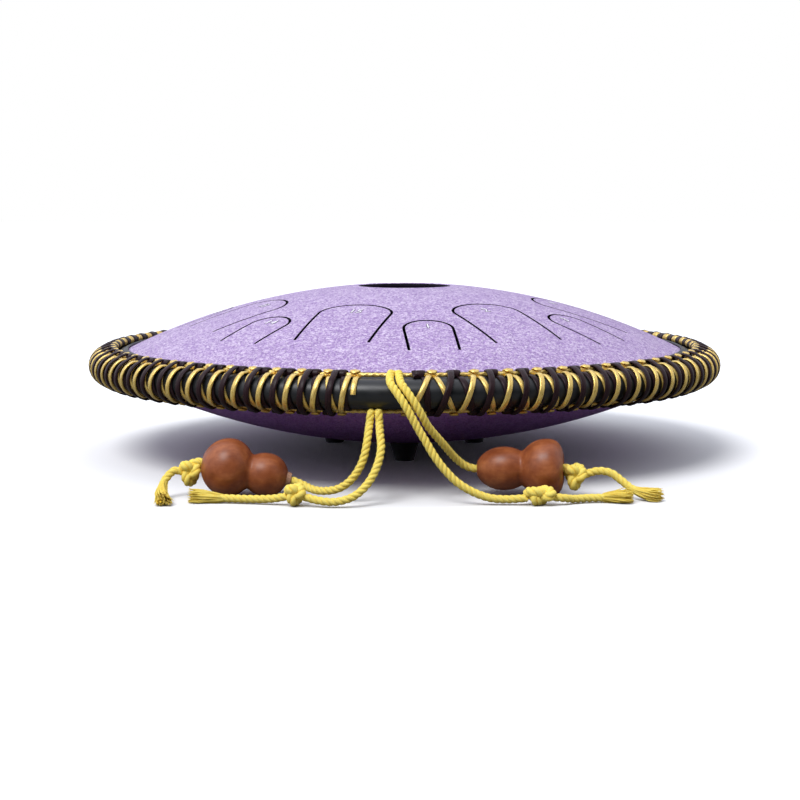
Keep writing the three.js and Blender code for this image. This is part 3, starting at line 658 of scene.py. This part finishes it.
def tassel(name, line, unravel, wide, yarns, lean):
    """Loose yarns that fan out from where a tail unravels, lean along X, and lie on the floor."""
    root = 0.75 * ROPE_R
    stray_reach, stray_r = 1.35, 0.6
    sway, sways = 0.00045, 8
    opens, bends, thins = 0.9, 1.5, 4  # powers of the way along a yarn
    thinner = 0.8
    spare, pile, fewest = 0.003, 0.0012, 6  # added length, height on the floor, and points kept
    pieces = Pieces()
    start = int(len(line) * unravel)
    part = line[start:]
    along = np.linspace(0, 1, len(part))
    _, normals, across = frames(line)
    fan = root + (wide - root) * along ** opens
    for _ in range(yarns):
        turn = random.uniform(0, TURN)
        stray = random.uniform(0, 1) < STRAYS
        reach = sqrt(random.uniform(0, 1)) * (stray_reach if stray else 1)
        length = random.uniform(*YARN_LENGTHS)
        phase = random.uniform(0, TURN)
        away = np.cos(turn) * normals[start:] + np.sin(turn) * across[start:]
        yarn = part + away * (fan * reach + sway * np.sin(sways * along + phase) * along)[:, None]
        yarn[:, 0] += lean * along ** bends
        last = yarn[-1] - yarn[-2]
        yarn[-1] += last / norm(last) * spare * (length - YARN_LENGTHS[0])
        yarn[:, 2] = np.maximum(yarn[:, 2], YARN_R + pile * random.uniform(0, 1) * along)
        yarn = even_line(yarn[:max(fewest, int(len(yarn) * min(length, 1)))], YARN_STEP)
        taper = 1 - thinner * np.linspace(0, 1, len(yarn)) ** thins
        tube(pieces, yarn, taper * (YARN_R * stray_r if stray else YARN_R), YARN_SIDES)
    return dress(pieces.build(name, [YARN]), "rope")


def declare(piece, line, extra):
    length = float(line_lengths(line)[-1])


def tail_piece(name, middle, size, route, fan):
    thinner = 0.6  # at the frayed end
    line = smooth_line([inside_knot(middle, size, np.array(route[0]) - middle), *route])
    along = np.linspace(0, 1, len(line))
    loosen = 1 - thinner * np.clip((along - fan["unravel"]) / (1 - fan["unravel"]), 0, 1)
    piece = rope_piece(f"{name}_tail_rope", f"{name}_tail", Laid(line, LAY_R, loosen))
    declare(piece, line, [tassel(f"{name}_tassel", line, **fan)])


def lay_rope(side, hitch, gourd, free):
    """One folded rope: its hitch, the strand through the gourd, the free strand, knots and tails."""
    folded = hitch_line(**hitch)
    left = side == "left"
    bead = gourd["bead"]
    gourd_end, free_end = (folded[0], folded[-1]) if left else (folded[-1], folded[0])
    knot = np.array(free["knot"])
    to_gourd = gourd_line(gourd_end, gourd["route"], bead, gourd["out"])
    into_knot = inside_knot(knot, free["size"], free["from_side"])
    to_free = smooth_line([free_end, *free["route"], into_knot])
    fold = folded[::-1] if left else folded
    whole = even_line(np.vstack([to_free[::-1], fold[1:-1], to_gourd]))
    whole = even_line(eased(whole))
    lengths = line_lengths(whole)
    to_fold = line_lengths(to_free)[-1]
    first = int(np.searchsorted(lengths, to_fold - HITCHED))
    last = int(np.searchsorted(lengths, to_fold + line_lengths(folded)[-1] + HITCHED))
    laid = Laid(whole, pressed(whole, (first + last) // 2))
    rope_piece(f"{side}_hitch_rope", f"{side}_rope_hitch", laid, first, last + 1)

    knot_out, knot_drop = gourd["knot"]
    hung = bead.at(bead.big_end + knot_out) - UP * knot_drop
    lead = [bead.at(bead.big_end + out) - UP * down for out, down in KNOT_LEAD]
    lead.append(hung + UP * LEAD_END)
    hung_knot = tie(f"{side}_gourd_rope_knot", f"{side}_gourd_knot", hung, GOURD_KNOT, lead)
    strand = rope_piece(f"{side}_gourd_rope", f"{side}_gourd_strand", laid, last)
    declare(strand, whole[last:], [hung_knot])
    tail_piece(f"{side}_gourd", hung, GOURD_KNOT, gourd["tail"], gourd["fan"])

    free_knot = tie(f"{side}_free_rope_knot", f"{side}_free_knot", knot, free["size"])
    strand = rope_piece(f"{side}_free_rope", f"{side}_free_strand", laid, 0, first + 1)
    declare(strand, whole[first::-1], [free_knot])
    tail_piece(f"{side}_free", knot, free["size"], free["tail"], free["fan"])


lay_rope("left", LEFT_HITCH,
         dict(route=LEFT_GOURD_ROUTE, bead=LEFT_BEAD, out=0.001, knot=(0.006, 0.0065),
              tail=LEFT_GOURD_TAIL, fan=LONG_FAN),
         dict(route=LEFT_FREE_ROUTE, knot=(-0.0512, -0.191, 0.0053), size=LEFT_FREE_KNOT,
              from_side=(6, -1.5, -1), tail=LEFT_FREE_TAIL, fan=FAN))
lay_rope("right", RIGHT_HITCH,
         dict(route=RIGHT_GOURD_ROUTE, bead=RIGHT_BEAD, out=SEAT, knot=(0.0055, 0.0045),
              tail=RIGHT_GOURD_TAIL, fan=FAN),
         dict(route=RIGHT_FREE_ROUTE, knot=(0.0634, -0.189, 0.0045), size=RIGHT_FREE_KNOT,
              from_side=(-6, 0, -1), tail=RIGHT_FREE_TAIL, fan=dict(FAN, wide=0.0040)))


# Gourds
def turned_on_bead(name, profile, material, bead):
    """Turns a closed profile of [radius, distance] about a bead's axis."""
    piece = Pieces().lathe(profile, GOURD_SIDES, True).build(name, [material], sharp=50)
    turn = Vector((0, 0, 1)).rotation_difference(Vector(bead.along)).to_matrix().to_4x4()
    piece.data.transform(Matrix.Translation(Vector(bead.middle)) @ turn)
    return piece


def gourd_piece(name, node, body, bead):
    neck_steps, middle_steps, end_steps = 24, 44, 30
    rim_edge, rim_dip, bore_dip = 0.0004, 0.00005, 0.0001
    neck = np.linspace(asin(GOURD_NECK_R / SMALL_LOBE_R), pi / 2, neck_steps, endpoint=False)
    last = asin((bead.flat / BIG_LOBE_R) ** (bead.square / 2))
    end = np.linspace(pi / 2, last, end_steps)[1:]
    z = np.concatenate([-SMALL_LOBE_R * bead.point * np.cos(neck), np.linspace(0, bead.spacing, middle_steps),
                        bead.spacing + BIG_LOBE_R * bead.blunt * np.cos(end) ** (2 / bead.square)])
    outline = list(zip(bead.radius(z), z))
    rim = [(bead.flat - rim_edge, bead.big_end - rim_dip)]
    mouth = [(BORE_R + BORE_EDGE, bead.big_end - bore_dip), (BORE_R, bead.big_end - BORE_EDGE),
             (BORE_R, bead.small_end + BORE_EDGE), (BORE_R + BORE_EDGE, bead.small_end + bore_dip)]
    dress(turned_on_bead(name, outline + rim + mouth, GOURD, bead), "gourd", node, body=body)


def stem_stub(name, body, bead):
    """The dry stub of the stem round the bore at a gourd's small end."""
    base = bead.small_end + STUB_DEPTH
    profile = [(radius, base - out) for radius, out in STEM_STUB]
    dress(turned_on_bead(name, profile, STEM, bead), "gourd", body=body)


gourd_piece("left_gourd_bead_shell", "left_gourd", "left_gourd_bead", LEFT_BEAD)
gourd_piece("right_gourd_bead_shell", "right_gourd", "right_gourd_bead", RIGHT_BEAD)
stem_stub("left_gourd_stem_stub", "left_gourd_bead", LEFT_BEAD)


# Shells
def dome_profile(start, end, outside, steps):
    radius = np.linspace(start, end, steps)
    return list(zip(radius, dome_height(radius, outside)))


def sheet_profile(start, steps):
    """Out along the inside of a pressed dome to its flange, and the way back over its outside."""
    bend_width = 0.0006
    inner_bend = sqrt((DOME_R - STEEL) ** 2 - (DOME_DROP + BOND / 2) ** 2)
    inner = dome_profile(start, inner_bend, -STEEL, steps)
    inner.append((FLANGE_R, BOND / 2))
    outer = [(FLANGE_R, FLANGE_FACE), (BEND_R + bend_width, FLANGE_FACE)]
    outer += dome_profile(start, BEND_R, 0, steps)[::-1]
    return inner, outer


def slot_cutter(pieces, bearing, tip, half, cap, root):
    """A U-shaped slot that follows the dome, with its upper edges bevelled."""
    leg_steps, end_steps = 14, 33
    deep, clear, proud = 0.006, 0.002, 0.00002  # into the dome, out of it, and the bevel's start above it
    centre = tip + cap
    turns = np.linspace(pi / 2, pi * 1.5, end_steps)
    bend = np.stack([centre + cap * np.cos(turns), half * np.sin(turns)], axis=1)
    leg = np.linspace(root, centre, leg_steps)[:-1]
    upper = np.stack([leg, np.full(len(leg), half)], axis=1)
    path = np.vstack([upper, bend, (upper * (1, -1))[::-1]])
    heading = unit(np.gradient(path, axis=0))
    side = np.stack([-heading[:, 1], heading[:, 0]], axis=1)
    wide = SLOT / 2 + SLOT_EDGE
    section = [(SLOT / 2, -deep), (SLOT / 2, -SLOT_EDGE), (wide + proud, proud), (wide, clear)]
    section += [(-offset, height) for offset, height in section[::-1]]
    radial = outwards(bearing)
    along = np.cross(UP, radial)
    rings = []
    for point, across in zip(path, side):
        ring = []
        for offset, height in section:
            x, y = point + across * offset
            rise = dome_height(hypot(x, y), 0) + height
            ring.append(radial * x + along * y + UP * (RIM_Z + rise))
        rings.append(ring)
    pieces.grid(rings)


def tongues():
    """Each tongue's bearing, form and number's place."""
    for tongue in range(TONGUES):
        from_front = tongue - TONGUES if tongue > TONGUES / 2 else tongue
        short = tongue % 2 == (0 if tongue < BACK_PAIR else 1)
        shape = dict(SHORT if short else LONG)
        shape["root"] += from_front * ROOT_STEP
        yield FIRST_TONGUE + tongue * TURN / TONGUES, shape, SHORT_NUMBER if short else LONG_NUMBER


def cut_out(shell, cutters):
    """Cuts closed pieces out of a shell, and gives the walls and bevels of the cuts the near-black painted
    shade.
    """
    cutters.slots = [1] * len(cutters.faces)
    cutter = cutters.build("cutter", shell.data.materials)
    put(shell.modifiers.new("cut", "BOOLEAN"), object=cutter, operation="DIFFERENCE", solver="MANIFOLD")
    result = bpy.data.meshes.new_from_object(shell.evaluated_get(bpy.context.evaluated_depsgraph_get()))
    shell.modifiers.clear()
    shell.data = result
    result.shade_smooth()
    result.set_sharp_from_angle(angle=radians(SHELL_SHARP))
    bpy.data.objects.remove(cutter)


def top_shell():
    roll_steps = 9
    edge, bevel = 0.0006, 0.0003  # of the hole, below its roll
    steps, sides = TOP_FACETS
    inner, outer = sheet_profile(HOLE_R + HOLE_ROLL, steps)
    top = outer[-1][1]
    roll = [(HOLE_R + HOLE_ROLL * (1 - sin(turn)), top - HOLE_ROLL * (1 - cos(turn)))
            for turn in np.linspace(0, pi / 2, roll_steps)[1:]]
    low = top - HOLE_ROLL - edge
    profile = inner + outer + roll + [(HOLE_R + bevel, low), (HOLE_R + STEEL, low)]
    # Only the outside and the first two rows of the roll take the paint; the rest of the hole's edge is
    # near-black painted shade.
    painted = range(len(inner), len(inner) + len(outer) + 2)
    slots = [0 if row in painted else 1 for row in range(len(profile))]
    dome = Pieces().lathe(profile, sides, True, (0, 0, RIM_Z), slots)
    shell = dome.build("painted_top_shell", [PAINT, INSIDE_SHADE])
    cutters = Pieces()
    for bearing, shape, _ in tongues():
        slot_cutter(cutters, bearing, **shape)
    cut_out(shell, cutters)
    dress(shell, "paint", "top_shell")


def bottom_shell():
    apex_r = 0.0001
    steps, sides = BOTTOM_FACETS
    inner, outer = sheet_profile(apex_r, steps)
    profile = [(radius, -height) for radius, height in outer[::-1] + inner[::-1]]
    slots = [0 if row < len(outer) else 1 for row in range(len(profile))]
    dome = Pieces().lathe(profile, sides, False, (0, 0, RIM_Z), slots)
    shell = dome.build("painted_bottom_shell", [SHADED_PAINT, INSIDE_SHADE])
    holes = Pieces()
    hole = [(STEM_R + SEAT, 0), (STEM_R + SEAT, RIM_Z)]
    for bearing in even_turns(len(FEET)):
        holes.lathe(hole, FOOT_SIDES, False, outwards(bearing) * FOOT_RING_R)
    cut_out(shell, holes)
    dress(shell, "paint", "bottom_shell")


def number_mesh(number, border, thick):
    """A number one unit high. Its curves are coarse, because the border of a fine one crosses itself."""
    text = put(bpy.data.curves.new("number", "FONT"), body=str(number), resolution_u=4,
               offset=border / NUMBER_SIZE, extrude=thick / NUMBER_SIZE, align_x="CENTER", align_y="CENTER")
    holder = bpy.data.objects.new("number", text)
    mesh = bpy.data.meshes.new_from_object(holder)
    bpy.data.objects.remove(holder)
    return mesh


def tongue_number(number, bearing, radius):
    """A plain number near a tongue's free end, standing upright when seen from the rim."""
    gap = 0.00002
    welded = bmesh.new()
    welded.from_mesh(number_mesh(number, SHADE_BORDER, SHADE_BORDER_HIGH))
    # The border takes the near-black material, as painted shade round the number.
    for face in welded.faces:
        face.material_index = 1
    welded.from_mesh(number_mesh(number, 0.0, NUMBER_HIGH))
    bmesh.ops.remove_doubles(welded, verts=welded.verts, dist=1e-4)
    mesh = bpy.data.meshes.new(f"tongue_number_{number}")
    welded.to_mesh(mesh)
    welded.free()
    tilt = asin(radius / DOME_R)
    place = ring_point(bearing, radius, float(dome_height(radius, gap)))
    turn = Matrix.Rotation(bearing, 4, "Z") @ Matrix.Rotation(tilt, 4, "X")
    mesh.transform(Matrix.Translation(Vector(place)) @ turn @ Matrix.Scale(NUMBER_SIZE, 4))
    mesh.materials.append(NUMBER)
    mesh.materials.append(INSIDE_SHADE)
    dress(add_object(mesh.name, mesh), "paint")


top_shell()
bottom_shell()
for index, (bearing, _, radius) in enumerate(tongues()):
    tongue_number(index + 1, bearing, radius)


# Rim edging
def arc(middle, radius, start, end, steps):
    return [(middle[0] + radius * cos(angle), middle[1] + radius * sin(angle))
            for angle in np.linspace(start, end, steps)]


def rim_edging():
    """A closed section: the seat on the flanges, a lip with a round nose, a fillet and the bulb."""
    reach = DOME_R + SEAT + LIP
    seat_bend = sqrt((DOME_R + SEAT) ** 2 - (DOME_DROP + FLANGE_FACE + SEAT) ** 2)
    seat = [(FLANGE_R + SEAT, FLANGE_FACE + SEAT), (seat_bend, FLANGE_FACE + SEAT)]
    seat += dome_profile(LIP_R, seat_bend, SEAT, steps=8)[:-1][::-1]
    nose_r = LIP / 2
    nose_middle = (LIP_R, float(dome_height(LIP_R, SEAT + nose_r)))
    facing = pi - asin(LIP_R / DOME_R)
    nose = arc(nose_middle, nose_r, facing + pi / 2, facing - pi / 2, steps=9)[1:-1]
    near, far = BULB_R + LIP_FILLET, reach + LIP_FILLET
    apart = hypot(BULB_RING_R, DOME_DROP)
    base = atan2(-DOME_DROP, -BULB_RING_R) + TURN
    to_corner = base - acos((apart ** 2 + near ** 2 - far ** 2) / (2 * apart * near))
    corner = (BULB_RING_R + near * cos(to_corner), near * sin(to_corner))
    to_dome = atan2(-DOME_DROP - corner[1], -corner[0])
    touch = corner[0] + LIP_FILLET * cos(to_dome)
    lip = dome_profile(LIP_R, touch, SEAT + LIP, steps=10)[:-1]
    hollow = arc(corner, LIP_FILLET, to_dome + TURN, to_corner + pi, steps=8)
    bulb = arc((BULB_RING_R, 0.0), BULB_R, to_corner, 0, steps=26)[1:]
    upper = seat + nose + lip + hollow + bulb
    lower = [(radius, -height) for radius, height in upper[:-1]][::-1]
    edging = Pieces().lathe((upper + lower)[::-1], EDGING_SIDES, True, (0, 0, RIM_Z))
    dress(edging.build("hose_edging", [HOSE]), "rubber", "rim_edging")


rim_edging()


# Lacing
def bulb_point(along, angle, reach):
    bearing = LACE_START + along / BULB_RING_R
    return ring_point(bearing, BULB_RING_R + reach * cos(angle), reach * sin(angle))


def bulb_normal(along, angle):
    return outwards(LACE_START + along / BULB_RING_R) * cos(angle) + UP * sin(angle)


def line_frame(along, side):
    """A lacing line's middle, the way out from the bulb there, and the way past the line."""
    angle = side * LINE_ANGLE
    past = side * (LINE_ANGLE + pi / 2)
    return bulb_point(along, angle, LINE_REACH), bulb_normal(along, angle), bulb_normal(along, past)


def lace_along(stitch):
    return stitch * PITCH + LACE_EASE * (1 - exp(-stitch / EASE_STITCHES))


class Lace:
    """The line of a lace, the way its flat side faces, and how much wider it is pulled.

    Rising legs pass over the other lace's falling legs. A tucked lace folds over each line from below it.
    The other one goes round each line one and a half times.
    """

    def __init__(self, tucked):
        self.tucked = tucked
        self.line, self.facing, self.swell = [], [], []

    def add(self, along, angle, reach, sign):
        self.line.append(bulb_point(along, angle, reach))
        self.facing.append(bulb_normal(along, angle) * sign)
        self.swell.append(1.0)

    def leg(self, start, end, rises):
        steps = 16
        sign = 1 if rises and not self.tucked else -1
        middle = CROSS if rises else UNDER
        at_line = LINE_REACH + sign * LOOP
        for step in range(steps + 1):
            angle = LINE_ANGLE * (2 * step / steps - 1)
            share = (1 + sin(min(max(angle / STRAIGHT, -1), 1) * pi / 2)) / 2
            near = min(max((abs(angle) - LEAVE) / (LINE_ANGLE - LEAVE), 0), 1)
            near = near * near * (3 - 2 * near)
            self.add(start + (end - start) * share, angle if rises else -angle,
                     middle + (at_line - middle) * near, sign)

    def loop(self, along, bar, upper, outside_first):
        steps = 21
        flat = 0.6  # below 1, a tucked lace keeps to the far side longer
        for step in range(1, steps):
            share = step / steps
            if self.tucked:
                turn = pi - BIGHT_TURN * sin(pi * share) ** flat
            else:
                turn = 3 * pi * (share if outside_first else 1 - share)
            middle, out, past = line_frame(along + bar * share, 1 if upper else -1)
            way = out * cos(turn) + past * sin(turn)
            self.line.append(middle + way * LOOP)
            self.facing.append(way)
            self.swell.append(1 + LOOP_SWELL * sin(pi * share))

    def tail(self, along, lean, upper, length, first, outside=False):
        """A cut end that comes out at a line and lies along the bulb."""
        lift = 0.0004
        side = 1 if upper else -1
        sign = 1 if outside else -1
        at_line = LINE_REACH + sign * LOOP
        shares = np.linspace(0, 1, 7)
        for share in (shares[::-1] if first else shares):
            angle = side * (LINE_ANGLE - share * length / BULB_R)
            reach = UNDER + lift * share + (at_line - UNDER) * (1 - share) ** 3
            self.add(along + lean * share, angle, reach, sign)

    def rings(self, width):
        square = 0.85  # below 1, the section is squarer than an oval
        line = np.array(self.line)
        tangents = unit(np.gradient(line, axis=0))
        facing = square_to(tangents, np.array(self.facing))
        across = np.cross(facing, tangents)
        turns = even_turns(CORD_SIDES)
        wide = np.sign(np.cos(turns)) * np.abs(np.cos(turns)) ** square * width / 2
        thick = np.sign(np.sin(turns)) * np.abs(np.sin(turns)) ** square * LACE_HEIGHT / 2
        swell = np.array(self.swell)[:, None, None]
        return (line[:, None] + across[:, None] * wide[None, :, None] * swell
                + facing[:, None] * thick[None, :, None])


def lace_piece(name, node, slot, material, turns, rises, width, upper_bar, lower_bar, tucked, first_tail):
    first_lean, last_lean = 0.001, -0.0006  # of the ends, along the rim
    lace = Lace(tucked)
    bar = {True: upper_bar, False: lower_bar}
    start = lace_along(turns[0]) - bar[not rises] / 2
    lace.tail(start, first_lean, not rises, first_tail, True, not tucked)
    lace.loop(start, bar[not rises], not rises, not rises)
    for leg in range(len(turns) - 1):
        begin = lace_along(turns[leg]) + bar[not rises] / 2
        end = lace_along(turns[leg + 1]) - bar[rises] / 2
        lace.leg(begin, end, rises)
        if leg + 2 < len(turns) or rises:
            lace.loop(end, bar[rises], rises, rises)
        rises = not rises
    if not rises:
        lace.tail(end + upper_bar, last_lean, True, LAST_TAIL, False)
    cord = Pieces().grid(lace.rings(width), lengths=line_lengths(np.array(lace.line)))
    dress(cord.build(name, [material], sharp=60), slot, node)


def lacing_line(name, node, side):
    """A twisted two-ply cord all the way round."""
    steps = 1900
    round_rim = TURN * BULB_RING_R
    places = np.arange(steps) * round_rim / steps
    sides = even_turns(CORD_SIDES)
    rings = []
    for place in places:
        middle, out, past = line_frame(place, side)
        twist = TURN * LINE_TWISTS * place / round_rim
        reach = LINE_R * (1 - LINE_GROOVE + LINE_GROOVE * np.cos(2 * sides - twist))
        rings.append(middle + np.outer(np.cos(sides) * reach, out) + np.outer(np.sin(sides) * reach, past))
    lengths = np.append(places, round_rim)
    cord = Pieces().grid(np.array(rings)[:, ::-side], caps=False, loop=True, lengths=lengths)
    dress(cord.build(name, [GOLD], sharp=60), "gold_cord", node)


gold_turns = [half / 2 for half in range(2 * STITCHES + 2)]
brown_turns = [BROWN_START] + gold_turns[1:]
lace_piece("gold_lace_cord", "gold_lace", "gold_cord", GOLD, gold_turns, True, **GOLD_LACE)
lace_piece("brown_lace_cord", "brown_lace", "brown_lace", BROWN, brown_turns, False, **BROWN_LACE)
lacing_line("upper_line_cord", "upper_lacing_line", 1)
lacing_line("lower_line_cord", "lower_lacing_line", -1)


# Feet
def foot(name, node, bearing):
    """A tapered block whose top follows the dome, and a stem with a head inside the shell."""
    flat, seat, gap = 0.0016, 0.0025, 0.00005  # base inside its edge, ring under the dome, gap to the dome
    tip_r, tip_edge = STEM_R * 0.7, 0.0004
    edge_start, edge_steps, side_steps, hollow = 0.3, 5, 8, 1.15
    middle = outwards(bearing) * FOOT_RING_R
    turns = even_turns(FOOT_SIDES)
    around = np.stack([np.cos(turns), np.sin(turns), np.zeros(FOOT_SIDES)], axis=1)

    def under_dome(radius):
        ring = middle + around * radius
        ring[:, 2] = RIM_Z - dome_height(norm(ring[:, :2], axis=1), gap)
        return ring

    rings = [middle + around * (FOOT_BASE_R - flat), middle + around * (FOOT_BASE_R - FOOT_EDGE)]
    for angle in np.linspace(edge_start, pi / 2, edge_steps):
        radius = FOOT_BASE_R - FOOT_EDGE + FOOT_EDGE * sin(angle)
        rings.append(middle + around * radius + UP * FOOT_EDGE * (1 - cos(angle)))
    top = under_dome(FOOT_TOP_R)
    base = middle + around * FOOT_BASE_R + UP * FOOT_EDGE
    for share in np.linspace(0, 1, side_steps)[1:]:
        ring = base + (top - base) * share ** hollow
        ring[:, 2] = base[:, 2] + (top[:, 2] - base[:, 2]) * share
        rings.append(ring)
    rings += [under_dome(FOOT_TOP_R - seat), under_dome(STEM_R)]
    head = RIM_Z - dome_height(FOOT_RING_R + STEM_HEAD_R, -STEEL) + SEAT
    for radius, height in ((STEM_R, 0), (STEM_HEAD_R - STEM_EDGE, 0), (STEM_HEAD_R, STEM_EDGE),
                           (tip_r + tip_edge, STEM_HEAD - STEM_EDGE), (tip_r, STEM_HEAD)):
        rings.append(middle + around * radius + UP * (head + height))
    dress(Pieces().grid(rings).build(name, [FOOT], sharp=50), "foot_rubber", node)


for name, bearing in zip(FEET, even_turns(len(FEET))):
    foot(f"{name}_foot_block", f"{name}_foot", bearing)


# Floor, backdrop and light
FLOOR_HALF = 6.0
FLOOR_WHITE = (0.2, 0.94)  # to the light that it throws back, and to the camera
SKY_TINT = (0.87, 0.90, 1.0)
SKY_WAY = (-0.4, 0.35, 0.9)  # the sky is brighter this way
SKY_FADE = (-0.1, 1.1)  # where along it the sky starts, and is full
HORIZON = (0.0, 0.42)  # heights between which the sky's light grows
SKY_LIGHT = (0.2, 1.3)  # its levels there


def floor():
    rows = [[(x, y, 0) for x in (-FLOOR_HALF, FLOOR_HALF)] for y in (-FLOOR_HALF, FLOOR_HALF)]
    plane = Pieces().grid(rows, wrap=False, caps=False, lengths=[0, 1])
    material, tree, _ = new_material("white_floor", "Object", Roughness=0.9, Specular_IOR_Level=0.0)
    white = rescaled(tree, add_node(tree, "LightPath", "Is Camera Ray"), 0.0, 1.0, *FLOOR_WHITE)
    tree.links.new(white, tree.nodes["Principled BSDF"].inputs["Base Color"])
    plane.build("floor", [material])


def studio():
    """A white studio with a soft lamp above and in front. It is brightest at the left side."""
    world = bpy.data.worlds.new("studio")
    bpy.context.scene.world = world
    world.use_nodes = True
    tree = world.node_tree
    sky = tree.nodes["Background"]
    seen = add_node(tree, "LightPath", "Is Camera Ray")
    rays = seen.node.outputs
    tree.links.new(ramp(tree, seen, [(0.0, SKY_TINT), (1.0, (1.0, 1.0, 1.0))]), sky.inputs["Color"])
    way = add_node(tree, "TexCoord", "Generated")
    across = add_node(tree, "SeparateXYZ", "X", {"Vector": way})
    tilt = add_node(tree, "VectorMath", "Value", {0: way, 1: SKY_WAY}, operation="DOT_PRODUCT")
    height = maths(tree, "ADD", tilt, maths(tree, "MULTIPLY", across, across))
    fade = rescaled(tree, height, *SKY_FADE, 0.0, 1.0, "SMOOTHSTEP")
    rise = rescaled(tree, across.node.outputs["Z"], *HORIZON, *SKY_LIGHT, "SMOOTHSTEP")
    mirrored = maths(tree, "MAXIMUM", rays["Is Glossy Ray"], rays["Is Transmission Ray"])
    faded = maths(tree, "MULTIPLY", maths(tree, "MAXIMUM", mirrored, rise), fade)
    tree.links.new(maths(tree, "MAXIMUM", faded, seen), sky.inputs["Strength"])
    lamp = add_object("overhead", bpy.data.lights.new("overhead", "SUN"))
    put(lamp.data, energy=1.95, angle=radians(30))
    put(lamp, location=(0, 0, 2), rotation_euler=(radians(31), radians(-21), 0))


floor()
studio()
bpy.context.scene.view_settings.view_transform = "Standard"
